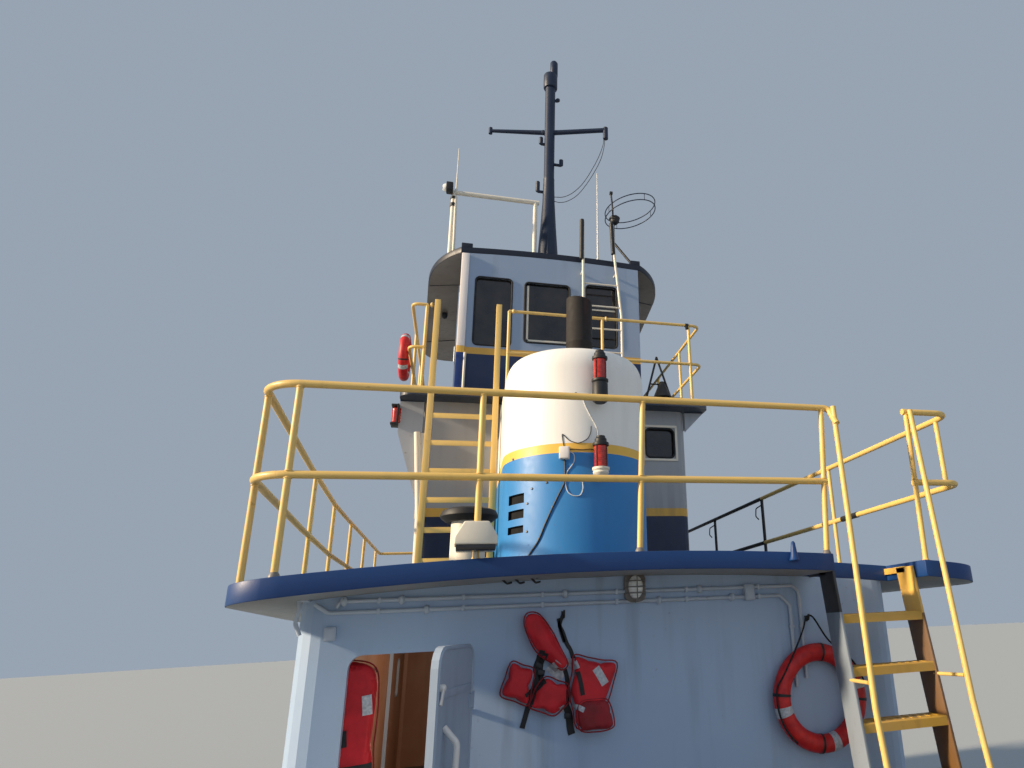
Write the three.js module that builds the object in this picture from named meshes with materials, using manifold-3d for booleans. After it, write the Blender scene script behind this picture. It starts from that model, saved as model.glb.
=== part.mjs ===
// A small inland push tug, afloat: raked hull, deckhouse, lower house, pilothouse and mast.
// Millimetres. +X is starboard, +Y is forward, +Z is up.
// The origin is on the centreline at the waterline, amidships.
import * as THREE from 'three';
import { mergeVertices } from 'three/addons/utils/BufferGeometryUtils.js';
import Module from 'manifold-3d';

const wasm = await Module();
wasm.setup();

// Driving dimensions
const REST_GAP = 0.3;           // between two pieces that rest on each other
const PIN_GAP = 0.5;            // between a turning piece and its seat
const HALF_LENGTH = 8250;       // hull, stern or bow from amidships
const HALF_BEAM = 3050;
const KEEL_Z = -1350;
const MAIN_DECK_Z = 1000;
const HOUSE_WALL = 75;          // steel, frames and lining

const HOUSE_HALF = 2060;        // deckhouse on the main deck
const HOUSE_AFT = -4450;
const HOUSE_FORE = 4400;

const BOAT_DECK_Z = 3455;       // top of the boat deck on the centreline
const BOAT_DECK_HALF = 2600;
const BOAT_DECK_AFT = -4950;
const BOAT_DECK_FORE = 4750;
const BOAT_DECK_THICK = 115;
const CAMBER = 2.25e-5;         // drop per square of the distance from the centreline

const LOWER_HALF = 1650;        // lower house on the boat deck
const LOWER_AFT = -850;
const LOWER_FORE = 4050;

const UPPER_DECK_Z = 5800;
const UPPER_DECK_THICK = 100;
const UPPER_DECK_HALF = 1920;
const UPPER_DECK_AFT = -1100;
const UPPER_DECK_FORE = 4450;

const PILOT_HALF = 1320;        // pilothouse on the upper deck
const PILOT_AFT = 150;
const PILOT_SIDE_END = 3100;    // where the angled front panels start
const PILOT_FORE = 3950;
const PILOT_FRONT_HALF = 850;
const ROOF_Z = 8485;            // top of the pilothouse roof on the centreline
const ROOF_THICK = 100;

const STACK_RADIUS = 760;
const STACK_Y = -1950;          // centre of the round aft side
const STACK_TOP = 5800;

const RAIL_TOP = 4490;          // boat deck rail, level over the cambered deck
const RAIL_MID = 3932;
const RAIL_RADIUS = 24;
const RAIL_POST_RADIUS = 20;
const UPPER_RAIL_TOP = 6890;
const UPPER_RAIL_MID = 6320;
const UPPER_RAIL_X = UPPER_DECK_HALF - 60;
const UPPER_RAIL_RADIUS = 20;
const HEX_FLAT = Math.cos(Math.PI / 6);   // a six-sided bar's flats, as a share of its radius

const SHAFT_X = 1450;
const SHAFT_Z = -750;
const SHAFT_RADIUS = 60;
const PROPELLER_RADIUS = 580;
const PROPELLER_Y = -6300;
const RUDDER_Y = -7000;
const STOCK_RADIUS = 50;

const FACETS = 12;              // sides of a plain round bar

// Paint and material colours: hex, roughness, metalness
const PAINT = {
  blue: [0x0b2a78, 0.45, 0.1],
  white: [0xd9dbe0, 0.5, 0.05],
  grey: [0x8793a8, 0.55, 0.05],
  yellow: [0xe0b24a, 0.45, 0.1],
  black: [0x16181c, 0.6, 0.1],
  steel: [0x777b80, 0.4, 0.8],
  rubber: [0x1b1b1c, 0.9, 0],
  bronze: [0xa8813f, 0.35, 0.9],
  red: [0xb3151c, 0.8, 0],
  redLens: [0xa3201c, 0.2, 0],
  greenLens: [0x1c7a3a, 0.2, 0],
  orange: [0xe0561c, 0.7, 0],
  hullBlack: [0x1d2126, 0.6, 0.1],
};

const group = new THREE.Group();
group.name = 'push_tug';

// Solids from three.js geometry
function solid(geometry) {
  const bare = geometry.clone();
  bare.deleteAttribute('normal');
  bare.deleteAttribute('uv');
  const merged = mergeVertices(bare, 1e-3);
  const index = merged.index.array;
  const kept = [];
  for (let i = 0; i < index.length; i += 3) {
    const [a, b, c] = [index[i], index[i + 1], index[i + 2]];
    if (a !== b && b !== c && a !== c) kept.push(a, b, c);
  }
  return new wasm.Manifold(new wasm.Mesh({
    numProp: 3,
    vertProperties: new Float32Array(merged.attributes.position.array),
    triVerts: new Uint32Array(kept),
  }));
}

function union(parts) {
  return parts.reduce((sum, part) => sum.add(part));
}

function box(x0, x1, y0, y1, z0, z1) {
  const geometry = new THREE.BoxGeometry(x1 - x0, y1 - y0, z1 - z0);
  return solid(geometry.translate((x0 + x1) / 2, (y0 + y1) / 2, (z0 + z1) / 2));
}

// A straight round bar or cone from point p to point q
function bar(p, q, radius, sides = FACETS, endRadius = radius) {
  const [start, end] = [new THREE.Vector3(...p), new THREE.Vector3(...q)];
  const run = end.clone().sub(start);
  const geometry = new THREE.CylinderGeometry(endRadius, radius, run.length(), sides);
  geometry.translate(0, run.length() / 2, 0);
  const turn = new THREE.Quaternion().setFromUnitVectors(new THREE.Vector3(0, 1, 0), run.normalize());
  geometry.applyQuaternion(turn).translate(start.x, start.y, start.z);
  return solid(geometry);
}

// A bent pipe through points: the straight runs reach a little past each bend
function pipe(points, radius, sides = 6) {
  const parts = [];
  for (let i = 1; i < points.length; i += 1) {
    const [start, end] = [new THREE.Vector3(...points[i - 1]), new THREE.Vector3(...points[i])];
    const past = end.clone().sub(start).setLength(radius * 0.6);
    if (i > 1) start.sub(past);
    if (i < points.length - 1) end.add(past);
    parts.push(bar(start.toArray(), end.toArray(), radius, sides));
  }
  return union(parts);
}

// A shape swept straight along one axis. The shape's two coordinates are
// x,y for axis z, y,z for axis x, and x,z for axis y.
function sweep(shape, axis, from, to, curveSegments = 3) {
  const settings = { depth: to - from, bevelEnabled: false, curveSegments };
  const geometry = new THREE.ExtrudeGeometry(shape, settings);
  const frame = new THREE.Matrix4();
  const [ex, ey, ez] = [[1, 0, 0], [0, 1, 0], [0, 0, 1]].map((v) => new THREE.Vector3(...v));
  if (axis === 'z') frame.makeBasis(ex, ey, ez).setPosition(0, 0, from);
  if (axis === 'x') frame.makeBasis(ey, ez, ex).setPosition(from, 0, 0);
  if (axis === 'y') frame.makeBasis(ex, ez, ey.clone().negate()).setPosition(0, to, 0);
  return solid(geometry.applyMatrix4(frame));
}

function outline(points) {
  const shape = new THREE.Shape();
  points.forEach(([a, b], i) => (i ? shape.lineTo(a, b) : shape.moveTo(a, b)));
  shape.closePath();
  return shape;
}

// A rectangle with round corners: radii for low-low, high-low, high-high, low-high
function roundRect(a0, b0, a1, b1, radii) {
  const [r0, r1, r2, r3] = Array.isArray(radii) ? radii : [radii, radii, radii, radii];
  const shape = new THREE.Shape();
  shape.moveTo(a0 + r0, b0);
  shape.lineTo(a1 - r1, b0);
  if (r1) shape.absarc(a1 - r1, b0 + r1, r1, -Math.PI / 2, 0);
  shape.lineTo(a1, b1 - r2);
  if (r2) shape.absarc(a1 - r2, b1 - r2, r2, 0, Math.PI / 2);
  shape.lineTo(a0 + r3, b1);
  if (r3) shape.absarc(a0 + r3, b1 - r3, r3, Math.PI / 2, Math.PI);
  shape.lineTo(a0, b0 + r0);
  if (r0) shape.absarc(a0 + r0, b0 + r0, r0, Math.PI, 1.5 * Math.PI);
  return shape;
}

function turned(part, degreesZ, x = 0, y = 0, z = 0) {
  return part.rotate([0, 0, degreesZ]).translate([x, y, z]);
}

function mirrored(part) {
  return part.mirror([1, 0, 0]);
}

// One named mesh. Its solid is given about the point where the mesh is placed.
function add(name, part, paint, place = [0, 0, 0], turnZ = 0) {
  const { vertProperties, triVerts } = part.getMesh();
  const geometry = new THREE.BufferGeometry();
  geometry.setAttribute('position', new THREE.BufferAttribute(new Float32Array(vertProperties), 3));
  geometry.setIndex(new THREE.BufferAttribute(new Uint32Array(triVerts), 1));
  const [color, roughness, metalness] = PAINT[paint];
  const material = new THREE.MeshStandardMaterial({ color, roughness, metalness, flatShading: true });
  const mesh = new THREE.Mesh(geometry, material);
  mesh.name = name;
  mesh.position.set(...place);
  mesh.rotation.z = THREE.MathUtils.degToRad(turnZ);
  group.add(mesh);
  return mesh;
}

// Doors: each hangs on two barrels that stand on lugs of the wall.
// In a door's own frame the hinge pin is the Z axis, the wall's face is at y = DOOR_PIN,
// outdoors is towards -y and the leaf reaches towards -x.
const DOOR_PIN = 40;
const DOOR_THICK = 40;
const LEAF_START = 20;
const BARREL_RADIUS = 14;
const LUG_HEIGHT = 24;

function doorLeaf(width, height, corner) {
  const face = roundRect(-LEAF_START - width, 0, -LEAF_START, height, corner);
  const leaf = sweep(face, 'y', DOOR_PIN - 5 - DOOR_THICK, DOOR_PIN - 5, 2);
  const parts = [leaf];
  for (const z of [height * 0.18, height * 0.78]) {
    parts.push(bar([0, 0, z], [0, 0, z + 110], BARREL_RADIUS, 8));
    parts.push(box(-LEAF_START - 90, 0, -BARREL_RADIUS, 6, z + 15, z + 95));
  }
  return union(parts);
}

function doorLugs(height) {
  const lugs = [];
  for (const z of [height * 0.18, height * 0.78]) {
    const top = z - PIN_GAP;
    lugs.push(box(-10, BARREL_RADIUS + 6, -BARREL_RADIUS, DOOR_PIN + 8, top - LUG_HEIGHT, top));
  }
  return union(lugs);
}

// Doors by name: hinge place, turn of the closed door's frame, leaf size, angle it stands open
const MAIN_LEAF = { z: 1225, width: 740, height: 1730 };
const DOORS = {
  aft_door: { x: -1020, y: HOUSE_AFT - DOOR_PIN, turn: 0, open: 75, ...MAIN_LEAF },
  side_door_port: { x: -HOUSE_HALF - DOOR_PIN, y: 1500, turn: -90, open: 0, ...MAIN_LEAF },
  side_door_starboard: { x: HOUSE_HALF + DOOR_PIN, y: 2260, turn: 90, open: 0, ...MAIN_LEAF },
  lower_house_door: {
    x: LOWER_HALF + DOOR_PIN, y: 3560, turn: 90, open: 0, z: 3560, width: 700, height: 1800,
  },
};
const DOOR_CORNER = 110;
const DOOR_LAP = 35;            // leaf beyond the opening, on each side

function doorHole({ x, y, z, turn, width, height }) {
  const face = roundRect(-LEAF_START - width + DOOR_LAP, DOOR_LAP,
    -LEAF_START - DOOR_LAP, height - DOOR_LAP, DOOR_CORNER - DOOR_LAP);
  return turned(sweep(face, 'y', 0, 400, 2), turn, x, y, z);
}

function withDoors(wall, names) {
  let result = wall;
  for (const name of names) {
    const door = DOORS[name];
    result = result.subtract(doorHole(door));
    result = result.add(turned(doorLugs(door.height), door.turn, door.x, door.y, door.z));
  }
  return result;
}

// The pilothouse doors slide forward: each leaf hangs by two hooks on a flat bar on the wall
const SLIDE_DOOR = { aft: 440, width: 740, floor: 5975, height: 1890, corner: 80 };
const TRACK = { z: 7920, height: 40, out: 30, reach: 1560 };
const LEAF_CLEAR = 10;          // from the wall to the leaf
const LEAF_THICK = 38;

// Both are made for the starboard wall; the leaf's own origin is its aft lower corner
function slideTrack() {
  const { z, height, out, reach } = TRACK;
  const [aft, fore] = [SLIDE_DOOR.aft - 40, SLIDE_DOOR.aft + reach];
  return box(PILOT_HALF - 5, PILOT_HALF + out, aft, fore, z, z + height);
}

function slideHole() {
  const { aft, width, floor, height, corner } = SLIDE_DOOR;
  const [y0, z0] = [aft + DOOR_LAP, floor + DOOR_LAP];
  const face = roundRect(y0, z0, aft + width - DOOR_LAP, floor + height - DOOR_LAP, corner);
  return sweep(face, 'x', PILOT_HALF - 200, PILOT_HALF + 200, 2);
}

function slideLeaf() {
  const { width, height, corner } = SLIDE_DOOR;
  const [inner, outer] = [LEAF_CLEAR, LEAF_CLEAR + LEAF_THICK];
  const hook = TRACK.z + TRACK.height + PIN_GAP - SLIDE_DOOR.floor;
  const leaf = sweep(roundRect(0, 0, width, height, corner), 'x', inner, outer, 2)
    .subtract(sweep(roundRect(150, 950, width - 150, height - 130, 60), 'x', -10, 100, 2));
  const parts = [leaf];
  for (const y of [90, width - 90]) {
    parts.push(box(outer - 8, outer, y - 40, y + 40, height - 60, hook + 12));
    parts.push(box(inner, outer, y - 40, y + 40, hook, hook + 12));
  }
  return union(parts);
}

// Main hull
const BOW_RISE = 250;
const TRANSOM_FOOT = 60;
const TUNNEL_TOP = -80;
const TOE_RAIL = 90;
const ENGINE_FLOOR = -900;

function hullPlan(grow, z0, z1) {
  const shape = roundRect(-HALF_BEAM - grow, -HALF_LENGTH - grow, HALF_BEAM + grow, HALF_LENGTH + grow,
    [450 + grow, 450 + grow, 900 + grow, 900 + grow]);
  return sweep(shape, 'z', z0, z1, 3);
}

// Double bitts: place of the middle and which way the pair runs
const BITTS = [
  { x: 2700, y: -7300, along: 'y' },
  { x: -2700, y: -7300, along: 'y' },
  { x: 2780, y: -200, along: 'y' },
  { x: -2780, y: -200, along: 'y' },
  { x: 2400, y: 6300, along: 'y' },
  { x: -2400, y: 6300, along: 'y' },
];

function bitt({ x, y }) {
  const sunk = MAIN_DECK_Z - 10;
  const parts = [box(x - 120, x + 120, y - 330, y + 330, sunk, MAIN_DECK_Z + 20)];
  for (const side of [-190, 190]) {
    parts.push(bar([x, y + side, sunk], [x, y + side, MAIN_DECK_Z + 430], 80, 8));
  }
  parts.push(bar([x, y - 300, MAIN_DECK_Z + 270], [x, y + 300, MAIN_DECK_Z + 270], 28, 6));
  return union(parts);
}

const HATCH_Y = -6600;
const HATCH_HALF = 330;
const HATCH_TOP = MAIN_DECK_Z + 150;
const HATCH_PIN_Y = HATCH_Y + HATCH_HALF + 60;
const HATCH_PIN_Z = HATCH_TOP + 18;

function buildHull() {
  const side = outline([
    [-HALF_LENGTH, MAIN_DECK_Z], [-HALF_LENGTH, TRANSOM_FOOT], [-5900, TUNNEL_TOP], [-4200, KEEL_Z],
    [5000, KEEL_Z], [HALF_LENGTH, BOW_RISE], [HALF_LENGTH, MAIN_DECK_Z],
  ]);
  const section = roundRect(-HALF_BEAM, KEEL_Z, HALF_BEAM, MAIN_DECK_Z, [300, 300, 0, 0]);
  let hull = sweep(side, 'x', -HALF_BEAM, HALF_BEAM)
    .intersect(sweep(section, 'y', -HALF_LENGTH, HALF_LENGTH, 2))
    .intersect(hullPlan(0, KEEL_Z, MAIN_DECK_Z));
  const rail = hullPlan(0, MAIN_DECK_Z - 5, MAIN_DECK_Z + TOE_RAIL).subtract(hullPlan(-60, 0, 2000))
    .subtract(box(-2150, 2150, 7000, 9000, 0, 2000));
  hull = hull.add(rail);
  hull = hull.add(box(-50, 50, -6900, -4300, KEEL_Z + 30, 0));
  const shaftBore = SHAFT_RADIUS + 3;
  const stockBore = STOCK_RADIUS + 3;
  for (const x of [-SHAFT_X, SHAFT_X]) {
    hull = hull.add(box(x - 32, x + 32, -6120, -5960, SHAFT_Z, 0));
    hull = hull.add(bar([x, -6160, SHAFT_Z], [x, -5920, SHAFT_Z], 135));
    hull = hull.add(bar([x, -5450, SHAFT_Z], [x, -4400, SHAFT_Z], 150));
    hull = hull.subtract(bar([x, -6200, SHAFT_Z], [x, SHAFT_END + PIN_GAP, SHAFT_Z], shaftBore, 16));
    hull = hull.subtract(bar([x, RUDDER_Y, -400], [x, RUDDER_Y, STOCK_TOP + PIN_GAP], stockBore, 16));
  }
  hull = hull.subtract(box(-1500, 1500, -2600, 1700, ENGINE_FLOOR, MAIN_DECK_Z + 1));
  hull = union([hull, ...BITTS.map(bitt)]);
  const coaming = box(-HATCH_HALF, HATCH_HALF, HATCH_Y - HATCH_HALF, HATCH_Y + HATCH_HALF, 800, HATCH_TOP)
    .subtract(box(-HATCH_HALF + 40, HATCH_HALF - 40, HATCH_Y - HATCH_HALF + 40, HATCH_Y + HATCH_HALF - 40,
      850, HATCH_TOP + 1));
  hull = hull.subtract(box(-HATCH_HALF + 40, HATCH_HALF - 40, HATCH_Y - HATCH_HALF + 40,
    HATCH_Y + HATCH_HALF - 40, 850, HATCH_TOP)).add(coaming);
  for (const x of [-220, 220]) {
    const lug = box(x - 18, x + 18, -16, 16, MAIN_DECK_Z - 5, HATCH_PIN_Z + 14);
    hull = hull.add(lug.translate([0, HATCH_PIN_Y, 0]));
  }
  return hull;
}

const SHAFT_END = -3900;
const STOCK_TOP = 300;

// The boat deck and the pilothouse roof are cambered alike: points x and z across such a surface
function camberLine(crown) {
  const points = [];
  for (let i = -6; i <= 6; i += 1) {
    const x = (BOAT_DECK_HALF * i) / 6;
    points.push([x, crown - CAMBER * x * x]);
  }
  return points;
}

function camberedPlate(crown, thick, plan, curveSegments) {
  const section = outline([...camberLine(crown), ...camberLine(crown - thick).reverse()]);
  return sweep(section, 'y', -5000, 5000)
    .intersect(sweep(plan, 'z', crown - 1000, crown + 100, curveSegments));
}

// The space below or above a cambered surface, as far as a limit, for cutting pieces to length
function camberSpace(crown, limit) {
  const edge = camberLine(crown);
  return sweep(outline([...edge, [BOAT_DECK_HALF, limit], [-BOAT_DECK_HALF, limit]]), 'y', -6000, 6000);
}

const NOTCH = [1330, 2060];     // opening in the boat deck's aft edge for the aft ladder
const belowDeckTop = camberSpace(BOAT_DECK_Z + REST_GAP, 2000);
const aboveUnderside = camberSpace(BOAT_DECK_Z - BOAT_DECK_THICK - REST_GAP, 5000);
const belowRoofTop = camberSpace(ROOF_Z + REST_GAP, 8000);
const aboveSoffit = camberSpace(ROOF_Z - ROOF_THICK - REST_GAP, 9000);

function onBoatDeck(part) {
  return part.subtract(belowDeckTop);
}

function onRoof(part) {
  return part.subtract(belowRoofTop);
}

// The deck narrows aft on its port side: x and y along the port rail, from aft to forward
const PORT_SIDE = [[-2330, -4665], [-2450, -2600], [-2540, -600], [-2550, 500], [-2550, 4640]];
const DECK_MARGIN = 50;         // from the rail's middle to the deck's edge

function portRailX(y) {
  const i = PORT_SIDE.findIndex((point) => point[1] > y);
  const [[x0, y0], [x1, y1]] = [PORT_SIDE[i - 1], PORT_SIDE[i]];
  return x0 + ((x1 - x0) * (y - y0)) / (y1 - y0);
}

function boatDeckPlan() {
  const [half, aft, fore] = [BOAT_DECK_HALF, BOAT_DECK_AFT, BOAT_DECK_FORE];
  const shape = new THREE.Shape();
  shape.moveTo(-2060, aft);
  shape.lineTo(half - 350, aft);
  shape.quadraticCurveTo(half, aft, half, aft + 350);
  shape.lineTo(half, fore - 250);
  shape.quadraticCurveTo(half, fore, half - 250, fore);
  shape.lineTo(250 - half, fore);
  shape.quadraticCurveTo(-half, fore, -half, fore - 250);
  for (const [x, y] of PORT_SIDE.slice(0, 4).reverse()) shape.lineTo(x - DECK_MARGIN, y);
  shape.quadraticCurveTo(-2350, aft, -2060, aft);
  return shape;
}

function buildBoatDeck() {
  return camberedPlate(BOAT_DECK_Z, BOAT_DECK_THICK, boatDeckPlan(), 5)
    .subtract(box(NOTCH[0], NOTCH[1], -5000, HOUSE_AFT, 3000, 4000));
}

// Windows: wall, low and high corner along the wall and in height
const HOUSE_WINDOWS = [
  { wall: 'side', a: -3600, b: 2150, width: 620, height: 560 },
  { wall: 'side', a: -2200, b: 2150, width: 620, height: 560 },
  { wall: 'side', a: -700, b: 2150, width: 620, height: 560 },
  { wall: 'side', a: 3000, b: 2150, width: 620, height: 560 },
  { wall: 'fore', a: -1350, b: 2050, width: 620, height: 660 },
  { wall: 'fore', a: 730, b: 2050, width: 620, height: 660 },
];
const LOWER_WINDOWS = [
  { wall: 'aft', a: 1091, b: 5065, width: 393, height: 394 },
  { wall: 'side', a: -300, b: 4500, width: 600, height: 600 },
  { wall: 'side', a: 900, b: 4500, width: 600, height: 600 },
  { wall: 'side', a: 2100, b: 4500, width: 600, height: 600 },
  { wall: 'fore', a: -1200, b: 4450, width: 700, height: 650 },
  { wall: 'fore', a: 500, b: 4450, width: 700, height: 650 },
];
const WINDOW_CORNER = 70;

function cutWindows(wall, windows, half, aft, fore) {
  let result = wall;
  for (const { wall: where, a, b, width, height } of windows) {
    const face = roundRect(a, b, a + width, b + height, WINDOW_CORNER);
    if (where === 'side') result = result.subtract(sweep(face, 'x', -half - 50, half + 50, 2));
    if (where === 'aft') result = result.subtract(sweep(face, 'y', aft - 50, aft + 150, 2));
    if (where === 'fore') result = result.subtract(sweep(face, 'y', fore - 150, fore + 50, 2));
  }
  return result;
}

function houseRing(half, aft, fore, z0, z1, corner) {
  const outer = sweep(roundRect(-half, aft, half, fore, corner), 'z', z0, z1, 2);
  const wall = HOUSE_WALL;
  const inner = roundRect(-half + wall, aft + wall, half - wall, fore - wall, corner - wall);
  return outer.subtract(sweep(inner, 'z', z0 - 10, z1 + 10, 1));
}

function buildDeckhouse() {
  const ring = houseRing(HOUSE_HALF, HOUSE_AFT, HOUSE_FORE, MAIN_DECK_Z + REST_GAP, 3600, 150);
  const windowed = cutWindows(ring, HOUSE_WINDOWS, HOUSE_HALF, HOUSE_AFT, HOUSE_FORE);
  return withDoors(windowed, ['aft_door', 'side_door_port', 'side_door_starboard'])
    .subtract(aboveUnderside);
}

function buildLowerHouse() {
  const top = UPPER_DECK_Z - UPPER_DECK_THICK - REST_GAP;
  const ring = houseRing(LOWER_HALF, LOWER_AFT, LOWER_FORE, 3300, top, 120);
  const windowed = cutWindows(ring, LOWER_WINDOWS, LOWER_HALF, LOWER_AFT, LOWER_FORE);
  return withDoors(onBoatDeck(windowed), ['lower_house_door']);
}

// Brackets under the upper deck's overhang: the aft pair differ from side to side
function buildUpperDeck() {
  const under = UPPER_DECK_Z - UPPER_DECK_THICK;
  const plan = roundRect(-UPPER_DECK_HALF, UPPER_DECK_AFT, UPPER_DECK_HALF, UPPER_DECK_FORE, 150);
  const parts = [sweep(plan, 'z', under, UPPER_DECK_Z, 4)];
  const inner = LOWER_HALF + REST_GAP;
  const outer = UPPER_DECK_HALF;
  const wing = outline([[-inner, under + 5], [-outer, under + 5], [-outer, 5300], [-inner, 4450]]);
  parts.push(sweep(wing, 'y', LOWER_AFT + 10, LOWER_AFT + 50));
  const gusset = outline([[inner, under + 5], [outer, under + 5], [inner, 5430]]);
  parts.push(sweep(gusset, 'y', LOWER_AFT + 10, LOWER_AFT + 50));
  for (const y of [1750, 3700]) {
    parts.push(sweep(gusset, 'y', y, y + 40));
    parts.push(mirrored(sweep(gusset, 'y', y, y + 40)));
  }
  return union(parts);
}

const PILOT_WINDOWS = [
  { a: -1131, b: 6893, width: 523, height: 1083 },
  { a: -425, b: 6980, width: 669, height: 975 },
  { a: 486, b: 6980, width: 481, height: 1020 },
];
const PILOT_SIDE_WINDOWS = [[1330, 840], [2260, 740]];   // low y and width
const PILOT_SILL = 6850;
const PILOT_SIDE_HEAD = 7860;
const PILOT_FORE_HEAD = 7980;

function pilotPlan(inset) {
  const half = PILOT_HALF - inset;
  const front = PILOT_FRONT_HALF - inset * 0.6;
  return outline([
    [-half, PILOT_AFT + inset], [half, PILOT_AFT + inset], [half, PILOT_SIDE_END - inset * 0.3],
    [front, PILOT_FORE - inset], [-front, PILOT_FORE - inset], [-half, PILOT_SIDE_END - inset * 0.3],
  ]);
}

function buildPilothouse() {
  const [z0, z1] = [UPPER_DECK_Z + REST_GAP, ROOF_Z];
  let house = sweep(pilotPlan(0), 'z', z0, z1);
  house = house.subtract(sweep(pilotPlan(HOUSE_WALL), 'z', z0 - 10, z1 + 10));
  for (const { a, b, width, height } of PILOT_WINDOWS) {
    house = house.subtract(sweep(roundRect(a, b, a + width, b + height, 60), 'y', 0, 400, 2));
  }
  for (const [y, width] of PILOT_SIDE_WINDOWS) {
    const pane = roundRect(y, PILOT_SILL, y + width, PILOT_SIDE_HEAD, 60);
    house = house.subtract(sweep(pane, 'x', -2000, 2000, 2));
  }
  for (const side of [-1, 1]) {
    const pane = roundRect(side * 420 - 340, PILOT_SILL, side * 420 + 340, PILOT_FORE_HEAD, 60);
    house = house.subtract(sweep(pane, 'y', 3700, 4200, 2));
    const middle = [side * (PILOT_HALF + PILOT_FRONT_HALF) / 2, (PILOT_SIDE_END + PILOT_FORE) / 2];
    const run = [PILOT_FRONT_HALF - PILOT_HALF, PILOT_FORE - PILOT_SIDE_END];
    const angle = THREE.MathUtils.radToDeg(Math.atan2(run[1], side * run[0]));
    const hole = sweep(roundRect(-370, PILOT_SILL, 370, PILOT_FORE_HEAD, 60), 'y', -200, 200, 2);
    house = house.subtract(turned(hole, angle, ...middle));
  }
  const [track, hole] = [slideTrack(), slideHole()];
  house = house.subtract(hole).subtract(mirrored(hole)).add(track).add(mirrored(track));
  return house.subtract(aboveSoffit);
}

function roofPlan() {
  const shape = new THREE.Shape();
  shape.moveTo(-1360, PILOT_AFT);
  shape.lineTo(1360, PILOT_AFT);
  shape.quadraticCurveTo(1790, 480, 1850, 1170);
  shape.lineTo(2030, 4100);
  shape.quadraticCurveTo(2020, 4560, 1500, 4650);
  shape.lineTo(-1500, 4650);
  shape.quadraticCurveTo(-2020, 4560, -2030, 4100);
  shape.lineTo(-1850, 1170);
  shape.quadraticCurveTo(-1790, 480, -1360, PILOT_AFT);
  return shape;
}

// Funnel casing: round aft side, flat against the lower house, drawn in at the top
function buildStack() {
  const shoulder = 5550;
  const inset = 120;
  const fore = LOWER_AFT - REST_GAP;
  const plan = new THREE.Shape();
  plan.moveTo(STACK_RADIUS, fore);
  plan.lineTo(-STACK_RADIUS, fore);
  plan.lineTo(-STACK_RADIUS, STACK_Y);
  plan.absarc(0, STACK_Y, STACK_RADIUS, Math.PI, 2 * Math.PI);
  const drawnIn = STACK_RADIUS - inset;
  const cone = bar([0, STACK_Y, shoulder - 5], [0, STACK_Y, STACK_TOP], STACK_RADIUS, 32, drawnIn)
    .subtract(box(-900, 900, STACK_Y, 0, 5000, 6000));
  const roof = outline([
    [-STACK_RADIUS, shoulder - 5], [STACK_RADIUS, shoulder - 5],
    [drawnIn, STACK_TOP], [-drawnIn, STACK_TOP],
  ]);
  let casing = sweep(plan, 'z', 3300, shoulder, 8).add(cone).add(sweep(roof, 'y', STACK_Y - 1, fore));
  casing = casing.subtract(box(-900, 900, UPPER_DECK_AFT - REST_GAP, 0,
    UPPER_DECK_Z - UPPER_DECK_THICK - REST_GAP, 6000));
  for (const z of [3990, 4140, 4290]) {
    const slot = box(-190, 190, -STACK_RADIUS - 50, -STACK_RADIUS + 60, z - 50, z + 50);
    casing = casing.subtract(turned(slot, -58, 0, STACK_Y));
  }
  return onBoatDeck(casing);
}

function buildExhaust() {
  const [x, top] = [50, 6680];
  const pipeOut = bar([x, STACK_Y, STACK_TOP + REST_GAP], [x, STACK_Y, top + 100], 150, 24);
  const bore = bar([x, STACK_Y, STACK_TOP + 120], [x, STACK_Y, top + 200], 138, 24);
  const slant = box(-400, 400, -400, 400, 0, 600).rotate([0, 8, 0]).translate([x, STACK_Y, top - 20]);
  return pipeOut.subtract(bore).subtract(slant);
}

// Rails: a top and a middle pipe, with posts down to the deck. A post is its foot's
// x and y, and how far its top stands to starboard of the foot.
function railing({ top, mid, posts, topZ, midZ, floorZ, radius, postRadius }) {
  const parts = [
    pipe(top.map(([x, y]) => [x, y, topZ]), radius),
    pipe(mid.map(([x, y]) => [x, y, midZ]), radius),
  ];
  for (const [x, y, lean = 0] of posts) {
    parts.push(bar([x, y, floorZ], [x + lean, y, topZ + 2], postRadius, 6));
  }
  return union(parts);
}

const RAIL_Y = BOAT_DECK_AFT + 60;
const RAIL_X = BOAT_DECK_HALF - 50;
const PORT_POSTS = [-2210, -600, 850, 2350, 4000];
const STARBOARD_POSTS = [-2890, -1105, 690, 2500, 4200];
const LADDER_RAIL_X = [1479, 2150];   // where the ladder's handrails meet the top rails
const HANDRAIL_RADIUS = 20;

function cornerArc(cx, cy, radius, from, to, steps) {
  const points = [];
  for (let i = 0; i <= steps; i += 1) {
    const angle = THREE.MathUtils.degToRad(from + ((to - from) * i) / steps);
    points.push([cx + radius * Math.cos(angle), cy + radius * Math.sin(angle)]);
  }
  return points;
}

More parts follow.
